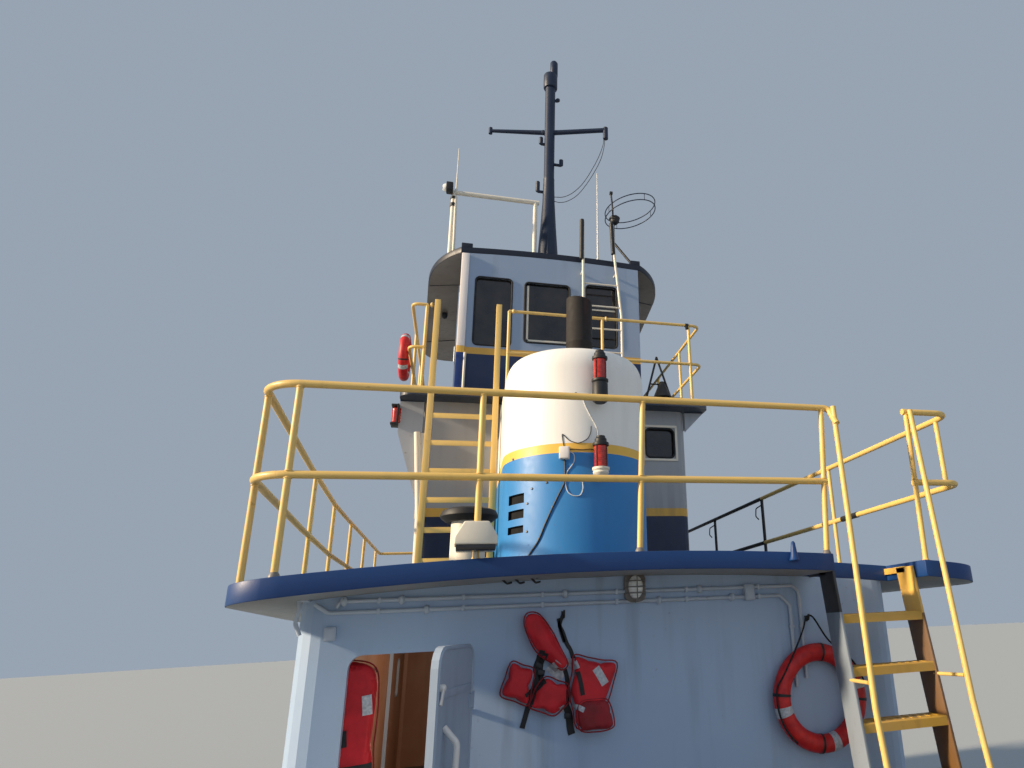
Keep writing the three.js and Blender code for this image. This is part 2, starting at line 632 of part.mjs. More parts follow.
function buildBoatDeckRails() {
  const fore = 4640;
  const sizes = {
    topZ: RAIL_TOP, midZ: RAIL_MID, floorZ: 3200, radius: RAIL_RADIUS, postRadius: RAIL_POST_RADIUS,
  };
  const [cornerX, cornerY] = PORT_SIDE[0];
  const bend = cornerY - RAIL_Y;
  const portCorner = cornerArc(cornerX + bend, cornerY, bend, 270, 180, 4);
  const portRoute = [...portCorner, ...PORT_SIDE.slice(1), [-300, fore]];
  const port = railing({
    top: [[LADDER_RAIL_X[0] + RAIL_RADIUS, RAIL_Y], ...portRoute],
    mid: [[1375, RAIL_Y], ...portRoute],
    posts: [
      [1312, RAIL_Y, 90], [-30, RAIL_Y, 50], [-1044, RAIL_Y], [-2111, RAIL_Y], portCorner[4],
      ...PORT_POSTS.map((y) => [portRailX(y), y]), [-1900, fore], [-308, fore],
    ],
    ...sizes,
  });
  const turn = cornerArc(RAIL_X - 150, RAIL_Y + 150, 150, 270, 360, 2);
  const starboardRoute = [[2110, RAIL_Y], ...turn, [RAIL_X, fore], [300, fore]];
  const shortY = RAIL_Y + 180;
  const shortPost = bar([RAIL_X, shortY, RAIL_MID], [RAIL_X, shortY, RAIL_TOP], RAIL_POST_RADIUS, 6);
  const starboard = railing({
    top: starboardRoute,
    mid: starboardRoute,
    posts: [[2112, RAIL_Y, 30], ...STARBOARD_POSTS.map((y) => [RAIL_X, y]), [1900, fore], [308, fore]],
    ...sizes,
  }).add(shortPost);
  add('boat_deck_rail_port', onBoatDeck(port), 'yellow');
  add('boat_deck_rail_starboard', onBoatDeck(starboard), 'yellow');
}

function buildUpperDeckRails() {
  const [aft, fore, side] = [UPPER_DECK_AFT + 50, UPPER_DECK_FORE - 60, UPPER_RAIL_X];
  const sizes = {
    topZ: UPPER_RAIL_TOP, midZ: UPPER_RAIL_MID, floorZ: UPPER_DECK_Z + REST_GAP,
    radius: UPPER_RAIL_RADIUS, postRadius: UPPER_RAIL_RADIUS,
  };
  const posts = [-100, 1100, 2300, 3500, fore - 90];
  const starboardRoute = [[-706, aft], [side, aft], [side, fore], [250, fore]];
  const starboard = railing({
    top: starboardRoute,
    mid: starboardRoute,
    posts: [[-700, aft], [500, aft], [1700, aft], ...posts.map((y) => [side, y]), [256, fore]],
    ...sizes,
  });
  const portRoute = [[-1680, aft], [-side, aft], [-side, fore], [-250, fore]];
  const port = railing({
    top: portRoute,
    mid: portRoute,
    posts: [[-1686, aft], ...posts.map((y) => [-side, y]), [-256, fore]],
    ...sizes,
  });
  add('upper_deck_rail_starboard', starboard, 'yellow');
  add('upper_deck_rail_port', port, 'yellow');
}

// A ladder leaning forward: stringers are bars (thick across, deep fore and aft), treads lie
// level between them and their aft edges are folded down by a lip
function ladder({ x0, x1, footY, footZ, topY, topZ, thick, deep, treadStart, treadEnd, step, tread, lip }) {
  const lean = (topY - footY) / (topZ - footZ);
  const yAt = (z) => footY + lean * (z - footZ);
  const parts = [];
  for (const x of [x0, x1]) {
    const half = deep / 2;
    const edge = outline([
      [footY - half, footZ], [footY + half, footZ], [topY + half, topZ], [topY - half, topZ],
    ]);
    parts.push(sweep(edge, 'x', x - thick / 2, x + thick / 2));
  }
  for (let z = treadStart; z <= treadEnd; z += step) {
    const aft = yAt(z) - tread / 2;
    parts.push(box(x0, x1, aft, yAt(z) + tread / 2, z - 12, z));
    parts.push(box(x0, x1, aft, aft + 12, z - lip, z - 1));
  }
  return { part: union(parts), yAt };
}

// The aft ladder's handrails run beside its stringers, 250 mm aft of them, and up to the rail
function buildAftLadder() {
  const stringers = [1390, 2045];
  const { part, yAt } = ladder({
    x0: stringers[0], x1: stringers[1], footY: -5050, footZ: MAIN_DECK_Z + REST_GAP,
    topY: -4710, topZ: 3330, thick: 20, deep: 200,
    treadStart: 1340, treadEnd: 3100, step: 335, tread: 196, lip: 60,
  });
  const parts = [part];
  const besideRail = RAIL_Y - RAIL_RADIUS - HANDRAIL_RADIUS - 2;
  stringers.forEach((x, i) => {
    const outside = x + [-32, 32][i];
    const clear = yAt(2450) - 350;
    parts.push(box(x - 10, x + 10, -4720, HOUSE_AFT - REST_GAP, 3100, 3190));
    parts.push(pipe([
      [x, yAt(1250) - 60, 1250], [outside, yAt(1450) - 350, 1450], [outside, clear, 2450],
      [LADDER_RAIL_X[i], besideRail, RAIL_TOP],
    ], HANDRAIL_RADIUS));
    parts.push(bar([x, yAt(2600) - 60, 2600], [outside, yAt(2600) - 332, 2600], 12, 6));
  });
  return union(parts);
}

function buildUpperLadder() {
  const [x0, x1] = [-1555, -835];
  const { part } = ladder({
    x0, x1, footY: -1500, footZ: 3300, topY: -1250, topZ: 6860, thick: 66, deep: 90,
    treadStart: 3780, treadEnd: 5730, step: 323, tread: 86, lip: 60,
  });
  const ties = [x0, x1].map((x) => box(x - 10, x + 10, -1330, UPPER_DECK_AFT - REST_GAP, 5710, 5790));
  return onBoatDeck(union([part, ...ties]));
}

// The starboard stile is set outwards below the roof, where the ladder stands on the deck
function buildRoofLadder() {
  const y = 0;
  const [low, high, bendLow, bendHigh] = [UPPER_DECK_Z + REST_GAP, 9030, 7440, 8440];
  const [x0, x1, foot] = [425, 915, 1005];
  const stileX = (z) => x1 + ((foot - x1) * Math.min(Math.max(bendHigh - z, 0), 1000)) / 1000;
  const parts = [
    bar([x0, y, low], [x0, y, high], 20, 8),
    pipe([[foot, y, low], [foot, y, bendLow], [x1, y, bendHigh], [x1 - 20, y, high]], 20),
  ];
  for (let z = 6105; z < 8100; z += 370) parts.push(bar([x0, y, z], [stileX(z), y, z], 13, 6));
  for (const z of [6700, 8180]) {
    for (const x of [x0, stileX(z)]) {
      parts.push(box(x - 15, x + 15, y, PILOT_AFT - REST_GAP, z - 15, z + 15));
    }
  }
  return union(parts);
}

// Mast: height and radius from the roof up, then the cap
const MAST_PROFILE = [[8400, 178], [9000, 165], [9500, 132], [10000, 105], [10450, 93], [12450, 90]];

function buildMast() {
  const y = 1050;
  const parts = [bar([0, y, 8400], [0, y, ROOF_Z + 40], 200)];
  for (let i = 1; i < MAST_PROFILE.length; i += 1) {
    const [[z0, r0], [z1, r1]] = [MAST_PROFILE[i - 1], MAST_PROFILE[i]];
    parts.push(bar([0, y, z0], [0, y, z1], r0, FACETS, r1));
  }
  parts.push(bar([0, y, 12440], [0, y, 12750], 125));
  parts.push(bar([60, y, 12740], [60, y, 13080], 70));
  const [yard, tip] = [11465, 11520];
  const [port, starboard] = [[-1019, y + 254], [970, y - 242]];
  parts.push(bar([0, y, yard], [...port, tip], 30, 8));
  parts.push(bar([0, y, yard], [...starboard, tip], 42, 8));
  parts.push(bar([...port, tip - 60], [...port, tip + 60], 34, 8));
  parts.push(bar([...starboard, tip - 190], [...starboard, tip + 45], 46, 8));
  return onRoof(union(parts));
}

const WHIP_X = -1515;
const WHIP_FOOT = 9900;

function buildGoalpost() {
  const [x0, x1, y, top] = [-1550, -240, 850, 9830];
  const parts = [];
  for (const x of [x0, x1]) {
    parts.push(bar([x, y, 8300], [x, y, top], 35, 8));
    parts.push(bar([x, y, 8300], [x, y, ROOF_Z - CAMBER * x * x + 20], 60, 8));
  }
  parts.push(box(WHIP_X - 20, WHIP_X + 20, y - 20, y + 20, top, WHIP_FOOT));
  parts.push(bar([x0 - 60, y, top], [x1 + 60, y, top], 38, 8));
  parts.push(box(x0 - 115, x0 - 10, y - 170, y - 10, top - 60, top + 90));
  parts.push(bar([x0 - 114, y - 90, top + 10], [x0 - 170, y - 90, top + 10], 70, 8, 40));
  return onRoof(union(parts));
}

// A pole with a receiver on top and two level hoops beside it, one above the other
function buildLoopAntenna() {
  const [x, y] = [985, 380];
  const parts = [
    bar([x, y, 8300], [x, y, 9330], 25, 8),
    bar([x, y, 8950], [1270, 190, 8400], 26, 8),
    solid(new THREE.SphereGeometry(85, 10, 6).translate(x + 25, y, 9380)),
    bar([x, y, 9400], [931, 142, 9420], 16, 6),
    bar([931, 142, 9395], [905, 125, 9690], 18, 6),
    box(880, 930, 100, 150, 9680, 9730),
  ];
  for (const z of [9520, 9638]) {
    const hoop = new THREE.TorusGeometry(435, 9, 6, 24).rotateY(-0.27);
    parts.push(solid(hoop.translate(1282, y, z)));
  }
  return onRoof(union(parts));
}

function buildVent() {
  const [x, y] = [-1088, -4150];
  return onBoatDeck(union([
    bar([x, y, 3300], [x, y, 3810], 120),
    bar([x, y, 3800], [x, y, 3857], 198, 16, 165),
    bar([x, y, 3758], [x, y, 3800], 160, 16, 198),
  ]));
}

// The floodlight stands at the deck's edge, just aft of a rail post, and shines down
function buildFloodlight() {
  const x = -1050;
  const hood = outline([
    [x - 122, 3466], [x + 122, 3466], [x + 122, 3546], [x + 70, 3634], [x - 70, 3634], [x - 122, 3546],
  ]);
  return onBoatDeck(union([
    bar([x, -4934, 3300], [x, -4934, 3480], 12, 8),
    sweep(hood, 'y', -5070, -4916),
  ]));
}

function buildStackLantern(z, casing) {
  const [x, y] = [115, -2850];
  return union([
    bar([x, y, z], [x, y, z + 250], 78),
    bar([x, y, z + 240], [x, y, z + 470], 66),
    bar([x, y, z + 460], [x, y, z + 560], 78, FACETS, 45),
    box(x - 30, x + 30, y, STACK_Y - 745, z + 60, z + 140),
  ]).subtract(casing.translate([0, -REST_GAP, 0]));
}

function buildConeMarker() {
  const [x, y] = [1310, UPPER_DECK_AFT + 120];
  const floor = UPPER_DECK_Z + REST_GAP;
  return union([
    bar([x, y, floor], [x, y, floor + 270], 120, FACETS, 30),
    box(x - 260, x + 260, y - 60, y + 60, floor, floor + 40),
    bar([x - 220, y, floor + 20], [x - 60, y, floor + 620], 14, 6),
    bar([x - 60, y, floor + 600], [x + 120, y, floor + 20], 14, 6),
  ]);
}

function buoyRing(outer, tube) {
  return solid(new THREE.TorusGeometry(outer - tube, tube, 8, 20));
}

// Life jackets hang as flat stuffed panels: middle x and z, width, height, tilt
const JACKET_PANELS = [
  { x: -640, z: 2671, width: 440, height: 230, tilt: 20 },
  { x: -572, z: 2940, width: 175, height: 430, tilt: -33 },
  { x: -270, z: 2650, width: 290, height: 560, tilt: 8 },
  { x: -460, z: 2760, width: 260, height: 330, tilt: 0 },
];

function buildJackets() {
  const panels = JACKET_PANELS.map(({ x, z, width, height, tilt }) => {
    const face = roundRect(-width / 2, -height / 2, width / 2, height / 2, 50);
    return sweep(face, 'y', -130, 0, 2).rotate([0, tilt, 0]).translate([x, HOUSE_AFT - REST_GAP, z]);
  });
  const hook = box(-480, -440, HOUSE_AFT - 60, HOUSE_AFT - REST_GAP, 2880, 3110);
  return union([...panels, hook]);
}

function buildInnerJacket() {
  const fore = HOUSE_AFT + HOUSE_WALL + REST_GAP;
  const face = roundRect(-1900, 2180, -1560, 2880, 80);
  return sweep(face, 'y', fore, fore + 150, 2);
}

function buildPropeller() {
  const parts = [
    bar([0, -80, 0], [0, SHAFT_END - PROPELLER_Y, 0], SHAFT_RADIUS, 16),
    bar([0, -120, 0], [0, 110, 0], 115, 16),
    bar([0, -230, 0], [0, -115, 0], 30, 16, 110),
  ];
  const blade = new THREE.Shape();
  blade.moveTo(-70, 60);
  blade.bezierCurveTo(-220, 220, -230, 480, 0, PROPELLER_RADIUS);
  blade.bezierCurveTo(230, 480, 220, 220, 70, 60);
  const flat = sweep(blade, 'y', -14, 14, 6).rotate([0, 0, 38]);
  for (let i = 0; i < 4; i += 1) parts.push(flat.rotate([0, i * 90, 0]));
  return union(parts);
}

function buildRudder() {
  const foil = new THREE.Shape();
  foil.moveTo(0, 300);
  foil.quadraticCurveTo(60, 240, 55, 0);
  foil.lineTo(14, -800);
  foil.lineTo(-14, -800);
  foil.lineTo(-55, 0);
  foil.quadraticCurveTo(-60, 240, 0, 300);
  return sweep(foil, 'z', -1250, -190, 5).add(bar([0, 0, -200], [0, 0, STOCK_TOP], STOCK_RADIUS, 16));
}

function buildKnee() {
  const face = outline([
    [HALF_LENGTH + REST_GAP, 300], [8600, 300], [8600, 2700], [8400, 2700],
    [7550, MAIN_DECK_Z + REST_GAP], [HALF_LENGTH + REST_GAP, MAIN_DECK_Z + REST_GAP],
  ]);
  return sweep(face, 'x', 1440, 1760);
}

const WINCH = { x: 1500, y: 6300, axisZ: MAIN_DECK_Z + 420, half: 230 };

function buildWinchFrame() {
  const { x, y, axisZ, half } = WINCH;
  const floor = MAIN_DECK_Z + REST_GAP;
  const cheek = outline([[y - 300, floor], [y + 300, floor], [y + 90, axisZ + 90], [y - 90, axisZ + 90]]);
  const parts = [box(x - half - 60, x + half + 60, y - 330, y + 330, floor, floor + 25)];
  for (const side of [x - half - 30, x + half]) parts.push(sweep(cheek, 'x', side, side + 30));
  return union(parts).subtract(bar([x - 400, y, axisZ], [x + 400, y, axisZ], 30.9, 32));
}

function buildWinchDrum() {
  const { half } = WINCH;
  return union([
    bar([-half - 60, 0, 0], [half + 60, 0, 0], 30, 32),
    bar([-half + 10, 0, 0], [half - 10, 0, 0], 120, 16),
    bar([-half + 10, 0, 0], [-half + 30, 0, 0], 230, 20),
    bar([half - 30, 0, 0], [half - 10, 0, 0], 230, 20),
  ]);
}

function buildConsole() {
  const floor = UPPER_DECK_Z + REST_GAP;
  const desk = outline([
    [3100, floor], [3700, floor], [3700, 6800], [3450, 6800], [3050, 6650], [3100, 6500],
  ]);
  return sweep(desk, 'x', -650, 650);
}

function buildChair() {
  const floor = UPPER_DECK_Z + REST_GAP;
  const [x, y] = [0, 2450];
  return union([
    bar([x, y, floor], [x, y, floor + 30], 250, 16),
    bar([x, y, floor + 20], [x, y, floor + 460], 45),
    box(x - 260, x + 260, y - 240, y + 260, floor + 450, floor + 560),
    box(x - 240, x + 240, y - 330, y - 220, floor + 460, floor + 1180),
    box(x - 320, x - 250, y - 240, y + 150, floor + 640, floor + 690),
    box(x + 250, x + 320, y - 240, y + 150, floor + 640, floor + 690),
    box(x - 320, x + 320, y - 300, y - 230, floor + 640, floor + 690),
  ]);
}

function buildSearchlight() {
  return union([
    bar([0, 0, PIN_GAP], [0, 0, 330], 45),
    box(-200, -170, -40, 40, 250, 560),
    box(170, 200, -40, 40, 250, 560),
    box(-200, 200, -40, 40, 250, 290),
    bar([0, -190, 480], [0, 190, 480], 165, 20),
    bar([-200, 0, 480], [200, 0, 480], 25, 8),
  ]);
}

function buildHatchLid() {
  const reach = HATCH_HALF + 20;
  const middle = HATCH_Y - HATCH_PIN_Y;
  const [under, top] = [HATCH_TOP + REST_GAP - HATCH_PIN_Z, HATCH_TOP + 26 - HATCH_PIN_Z];
  const parts = [box(-reach, reach, middle - reach, middle + reach, under, top)];
  for (const x of [-220, 220]) {
    const [left, right] = [x - 18 - PIN_GAP, x + 18 + PIN_GAP];
    for (const [a, b] of [[left - 40, left], [right, right + 40]]) {
      parts.push(bar([a, 0, 0], [b, 0, 0], BARREL_RADIUS));
      parts.push(box(a, b, -60, 0, -BARREL_RADIUS + 3, 8));
    }
  }
  return union(parts);
}

// Assembly
add('hull', buildHull(), 'hullBlack');
const fender = hullPlan(120, 700, 930).subtract(hullPlan(REST_GAP, 600, 1000))
  .subtract(box(-4000, 4000, 7300, 9000, 0, 2000));
add('fender', fender, 'rubber');
add('tow_knee_starboard', buildKnee(), 'hullBlack');
add('tow_knee_port', mirrored(buildKnee()), 'hullBlack');
const pad = box(1420, 1780, 8600 + REST_GAP, 8680, 340, 2660);
add('knee_pad_starboard', pad, 'rubber');
add('knee_pad_port', mirrored(pad), 'rubber');
add('deckhouse', buildDeckhouse(), 'grey');
add('boat_deck', buildBoatDeck(), 'blue');
add('lower_house', buildLowerHouse(), 'grey');
add('upper_deck', buildUpperDeck(), 'blue');
add('pilothouse', buildPilothouse(), 'grey');
add('pilothouse_roof', camberedPlate(ROOF_Z, ROOF_THICK, roofPlan(), 6), 'blue');
const stack = buildStack();
add('stack_casing', stack, 'white');
add('exhaust_pipe', buildExhaust(), 'black');
buildBoatDeckRails();
buildUpperDeckRails();
add('aft_ladder', buildAftLadder(), 'yellow');
add('upper_ladder', buildUpperLadder(), 'yellow');
add('roof_ladder', buildRoofLadder(), 'white');
add('mast', buildMast(), 'blue');
add('goalpost', buildGoalpost(), 'white');
add('whip_antenna_port', bar([WHIP_X, 850, WHIP_FOOT + REST_GAP], [WHIP_X, 850, 10710], 12, 6), 'white');
add('whip_antenna_starboard', onRoof(bar([777, 650, 8300], [777, 650, 10440], 18, 6)), 'white');
add('loop_antenna', buildLoopAntenna(), 'black');
add('deck_vent', buildVent(), 'black');
add('floodlight', buildFloodlight(), 'grey');
add('stack_lantern_upper', buildStackLantern(5120, stack), 'redLens');
add('stack_lantern_lower', buildStackLantern(4220, stack), 'redLens');
const lamp = box(UPPER_DECK_HALF + REST_GAP, UPPER_DECK_HALF + 90, 0, 200, 0, 250);
add('sidelight_port', mirrored(lamp), 'redLens', [0, LOWER_AFT - 60, 5390]);
add('sidelight_starboard', lamp, 'greenLens', [0, 2600, 5560]);
add('cone_marker', buildConeMarker(), 'black');
add('life_ring', buoyRing(300, 55).rotate([0, 90, 0]), 'orange',
  [-UPPER_RAIL_X - UPPER_RAIL_RADIUS * HEX_FLAT - 55 - REST_GAP, -620, 6340]);
add('ring_buoy', buoyRing(355, 60).rotate([90, 0, 0]), 'orange', [1340, HOUSE_AFT - REST_GAP - 60, 2475]);
add('life_jackets', buildJackets(), 'red');
add('inner_jacket', buildInnerJacket(), 'red');
for (const [name, { x, y, z, turn, width, height, open }] of Object.entries(DOORS)) {
  add(name, doorLeaf(width, height, DOOR_CORNER), 'grey', [x, y, z], turn + open);
}
const slide = [PILOT_HALF, SLIDE_DOOR.aft, SLIDE_DOOR.floor];
add('pilothouse_door_starboard', slideLeaf(), 'grey', slide);
add('pilothouse_door_port', mirrored(slideLeaf()), 'grey', [-slide[0], slide[1], slide[2]]);
for (const [side, x] of [['port', -SHAFT_X], ['starboard', SHAFT_X]]) {
  add(`propeller_${side}`, buildPropeller(), 'bronze', [x, PROPELLER_Y, SHAFT_Z]);
  add(`rudder_${side}`, buildRudder(), 'hullBlack', [x, RUDDER_Y, 0]);
}
for (const [side, sign] of [['port', -1], ['starboard', 1]]) {
  const block = box(-425, 425, -1050, 1050, ENGINE_FLOOR + REST_GAP, 350);
  add(`engine_${side}`, block, 'steel', [sign * 800, -500, 0]);
  add(`winch_frame_${side}`, buildWinchFrame(), 'black', [sign < 0 ? -2 * WINCH.x : 0, 0, 0]);
  add(`winch_drum_${side}`, buildWinchDrum(), 'steel', [sign * WINCH.x, WINCH.y, WINCH.axisZ]);
}
add('hatch_lid', buildHatchLid(), 'hullBlack', [0, HATCH_PIN_Y, HATCH_PIN_Z]);
add('console', buildConsole(), 'black');
add('helm_chair', buildChair(), 'black');
add('searchlight', buildSearchlight(), 'white', [0, 4150, ROOF_Z]);

export default group;
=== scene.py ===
# %% [markdown]
# # An inland push tug, seen from close behind its port quarter
#
# The boat's plain solids come packed as a fixed frame. This lesson dresses them: paint, rails, ladders,
# lanterns, life jackets and rings, wiring and glass. Everything is in metres, +Y is forward, +X is
# starboard and z = 0 is the waterline, so a piece is simply made where the boat carries it.

# %% The frame that carries every piece
import math

import bmesh
import bpy
from mathutils import Matrix, Vector
from mathutils.bvhtree import BVHTree


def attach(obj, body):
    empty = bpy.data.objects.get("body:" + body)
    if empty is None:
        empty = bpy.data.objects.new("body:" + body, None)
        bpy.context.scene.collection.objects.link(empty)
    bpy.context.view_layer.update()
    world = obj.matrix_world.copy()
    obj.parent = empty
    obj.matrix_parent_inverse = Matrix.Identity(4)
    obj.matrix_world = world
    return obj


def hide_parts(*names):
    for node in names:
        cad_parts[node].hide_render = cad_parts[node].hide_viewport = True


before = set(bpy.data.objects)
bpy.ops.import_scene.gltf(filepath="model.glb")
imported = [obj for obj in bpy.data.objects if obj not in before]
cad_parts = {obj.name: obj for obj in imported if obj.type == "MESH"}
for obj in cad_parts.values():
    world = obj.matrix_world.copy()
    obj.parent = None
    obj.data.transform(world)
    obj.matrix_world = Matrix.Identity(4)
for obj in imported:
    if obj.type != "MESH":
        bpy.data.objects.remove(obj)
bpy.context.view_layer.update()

# %% [markdown]
# The camera stands just behind the stern at eye height and looks up past the boat deck. Its place, aim and
# lens were solved from edges whose real lengths are known, and the small shift puts the boat where the
# picture has it, because the picture was cropped to one side of the lens axis.

# %% Camera
EYE = Vector((-1.131, -9.310, 3.002))
YAW, PITCH, ROLL = 0.3128, 0.3353, -0.0513
ahead = Vector((math.sin(YAW) * math.cos(PITCH), math.cos(YAW) * math.cos(PITCH), math.sin(PITCH)))
level = Vector((math.cos(YAW), -math.sin(YAW), 0))
upright = level.cross(ahead)
right = math.cos(ROLL) * level + math.sin(ROLL) * upright
up = math.cos(ROLL) * upright - math.sin(ROLL) * level
lens = bpy.data.cameras.new("lens")
lens.lens = 24.25
lens.sensor_width = 36
PICTURE_WIDTH, LENS_AXIS = 1024, 680  # pixels
lens.shift_x = (PICTURE_WIDTH / 2 - LENS_AXIS) / PICTURE_WIDTH
lens.clip_end = 400
camera = bpy.data.objects.new("camera", lens)
camera.matrix_world = Matrix.Translation(EYE) @ Matrix((right, up, -ahead)).transposed().to_4x4()
bpy.context.scene.collection.objects.link(camera)
bpy.context.scene.camera = camera
print("camera at", [round(v, 2) for v in EYE], "lens", lens.lens)

# %% [markdown]
# Colours are picked as on a screen, as sRGB hex, and Blender mixes them in linear light, so one function
# turns them over. One more function adds a shader node with its settings and links, which keeps each
# material below short enough to read as a recipe.


# %% Colour and node helpers
def linear(hexa):
    channels = [((hexa >> shift) & 255) / 255 for shift in (16, 8, 0)]
    return [c / 12.92 if c <= 0.04045 else ((c + 0.055) / 1.055) ** 2.4 for c in channels] + [1.0]


def node(tree, kind, inputs=None, **settings):
    made = tree.nodes.new("ShaderNode" + kind)
    for key, value in settings.items():
        setattr(made, key, value)
    for socket, value in (inputs or {}).items():
        if isinstance(value, bpy.types.NodeSocket):
            tree.links.new(value, made.inputs[socket])
        else:
            made.inputs[socket].default_value = value
    return made


def surface(name, **values):
    """A new material: its tree, its shader and the place on the piece, in metres."""
    finish = bpy.data.materials.new(name)
    finish.use_nodes = True
    tree = finish.node_tree
    shader = tree.nodes["Principled BSDF"]
    for socket, value in values.items():
        shader.inputs[socket.replace("_", " ")].default_value = value
    place = node(tree, "TexCoord").outputs["Object"]
    return finish, tree, shader, place


def per(millimetres):
    """The scale of a pattern whose features are so many millimetres apart."""
    return 1000 / millimetres


def mixed(tree, share, low, high):
    return node(tree, "Mix", {0: share, 6: low, 7: high}, data_type="RGBA").outputs[2]


def ramp(tree, value, low, high):
    """0 below low, 1 above high."""
    return node(tree, "MapRange", {"Value": value, "From Min": low, "From Max": high}).outputs[0]


def cloud(tree, place, size, detail=3.0, stretch=(1, 1, 1)):
    """Soft noise with patches of a size in millimetres, stretched along an axis where that is below 1."""
    turned_place = node(tree, "Mapping", {"Vector": place, "Scale": stretch}).outputs[0]
    inputs = {"Vector": turned_place, "Scale": per(size), "Detail": detail}
    return node(tree, "TexNoise", inputs).outputs[0]


def product(tree, a, b):
    return node(tree, "Math", {0: a, 1: b}, operation="MULTIPLY").outputs[0]


# %% [markdown]
# The stage is a plain pale floor at the waterline and soft light from all round. One warm lamp stands low to
# port and a little aft, because the picture's light comes from there and leaves the aft walls in open shade.
# A weak broad lamp lifts that shade, and one inside the deckhouse shows a room through the doorway.

# %% Floor and light
world = bpy.data.worlds.new("studio")
bpy.context.scene.world = world
world.use_nodes = True
world.node_tree.nodes["Background"].inputs["Color"].default_value = linear(0xcfdff2)
world.node_tree.nodes["Background"].inputs["Strength"].default_value = 0.5
bpy.context.scene.view_settings.view_transform = "Standard"

bm = bmesh.new()
FLOOR_RADIUS = 160
bmesh.ops.create_circle(bm, cap_ends=True, segments=96, radius=FLOOR_RADIUS)
floor_mesh = bpy.data.meshes.new("floor")
bm.to_mesh(floor_mesh)
bm.free()
floor = bpy.data.objects.new("floor", floor_mesh)
bpy.context.scene.collection.objects.link(floor)
# Painted plaster, rolled on: matt and pale, so it throws soft light up under the decks.
floor_finish, tree, shader, place = surface("pale_floor", Roughness=0.9)
shader.inputs["Base Color"].default_value = linear(0xaab0b3)
floor_mesh.materials.append(floor_finish)


def lamp(name, colour, strength, aim, softness):
    light = bpy.data.lights.new(name, "SUN")
    light.color = linear(colour)[:3]
    light.energy = strength
    light.angle = math.radians(softness)
    holder = bpy.data.objects.new(name, light)
    holder.rotation_euler = Vector(aim).to_track_quat("-Z", "Y").to_euler()
    bpy.context.scene.collection.objects.link(holder)


lamp("port_lamp", 0xffe8c8, 6.0, (0.90, 0.09, -0.35), 3)
lamp("quarter_fill", 0xcfe0ff, 0.2, (-0.25, 0.9, -0.35), 60)

inside_light = bpy.data.lights.new("doorway_lamp", "POINT")
inside_light.color = linear(0xffd8b6)[:3]
inside_light.energy = 180  # watts
inside_light.shadow_soft_size = 0.3
inside_lamp = bpy.data.objects.new("doorway_lamp", inside_light)
inside_lamp.location = (0.3, 0.0, 2.9)
bpy.context.scene.collection.objects.link(inside_lamp)
print("stage ready")

# %% [markdown]
# Marine enamel is thick, brushed and rolled over welded steel, year after year. It gives the eye a slow
# waviness of the plate, a fine roller stipple, chalky fading in large patches, dark dribbles below edges and
# a few rust spots. Bands of another colour are masked off level, so height alone chooses the colour.


# %% Enamel on steel plate
def enamel(name, bands, rough=0.42, grime=0.3, rust=0.4, fade=0.12, dirt=0x3a342e, stipple=9, room=None):
    """Bands are (lowest height, colour), from the lowest up. A room is the half width, aft and fore wall
    and colour of the inside of a house. Faded patches are about 0.9 m wide and dribbles about 110 mm apart.
    The roller's stipple is in millimetres."""
    finish, tree, shader, place = surface(name)
    height = node(tree, "SeparateXYZ", {"Vector": place}).outputs["Z"]
    colour = linear(bands[0][1])
    for lowest, hexa in bands[1:]:
        above = node(tree, "Math", {0: height, 1: lowest}, operation="GREATER_THAN").outputs[0]
        colour = mixed(tree, above, colour, linear(hexa))
    if room:
        half, aft, fore, hexa = room
        spot = node(tree, "SeparateXYZ", {"Vector": place})
        across = node(tree, "Math", {0: spot.outputs["X"]}, operation="ABSOLUTE").outputs[0]
        along = node(tree, "Math", {0: spot.outputs["Y"], 1: (aft + fore) / 2}, operation="SUBTRACT")
        along = node(tree, "Math", {0: along.outputs[0]}, operation="ABSOLUTE").outputs[0]
        beside = node(tree, "Math", {0: across, 1: half}, operation="LESS_THAN").outputs[0]
        between = node(tree, "Math", {0: along, 1: (fore - aft) / 2}, operation="LESS_THAN").outputs[0]
        inside = product(tree, beside, between)
        colour = mixed(tree, inside, colour, linear(hexa))
    patches = ramp(tree, cloud(tree, place, 900, 5), 0.42, 0.75)
    colour = mixed(tree, product(tree, patches, fade), colour, linear(0xc9cdd2))
    runs = ramp(tree, cloud(tree, place, 110, 4, (1, 1, 0.09)), 0.52, 0.78)
    dirty = ramp(tree, cloud(tree, place, 700, 4), 0.35, 0.7)
    soiled = product(tree, product(tree, runs, dirty), grime)
    colour = mixed(tree, soiled, colour, linear(dirt))
    spots = ramp(tree, cloud(tree, place, 45, 6), 0.66, 0.72)
    spots = product(tree, product(tree, spots, ramp(tree, cloud(tree, place, 900, 3), 0.52, 0.66)), rust)
    colour = mixed(tree, spots, colour, linear(0x6d3a20))
    tree.links.new(colour, shader.inputs["Base Color"])
    worn = node(tree, "MapRange", {"Value": cloud(tree, place, 60, 4), "To Min": rough - 0.07,
                                   "To Max": rough + 0.16}).outputs[0]
    worn = node(tree, "Math", {0: worn, 1: spots}, operation="ADD").outputs[0]
    tree.links.new(worn, shader.inputs["Roughness"])
    waves = node(tree, "Bump", {"Height": cloud(tree, place, 650, 1), "Strength": 0.35,
                                "Distance": 0.02}).outputs[0]
    skin = node(tree, "Bump", {"Height": cloud(tree, place, stipple, 2), "Strength": 0.22,
                               "Distance": 0.0016, "Normal": waves}).outputs[0]
    tree.links.new(skin, shader.inputs["Normal"])
    return finish


# %% [markdown]
# Every paint on board is this enamel with its own bands of colour, roughness, grime and rust. Where a
# house has rooms, its paint also holds the colour of their walls, which is chosen by place.

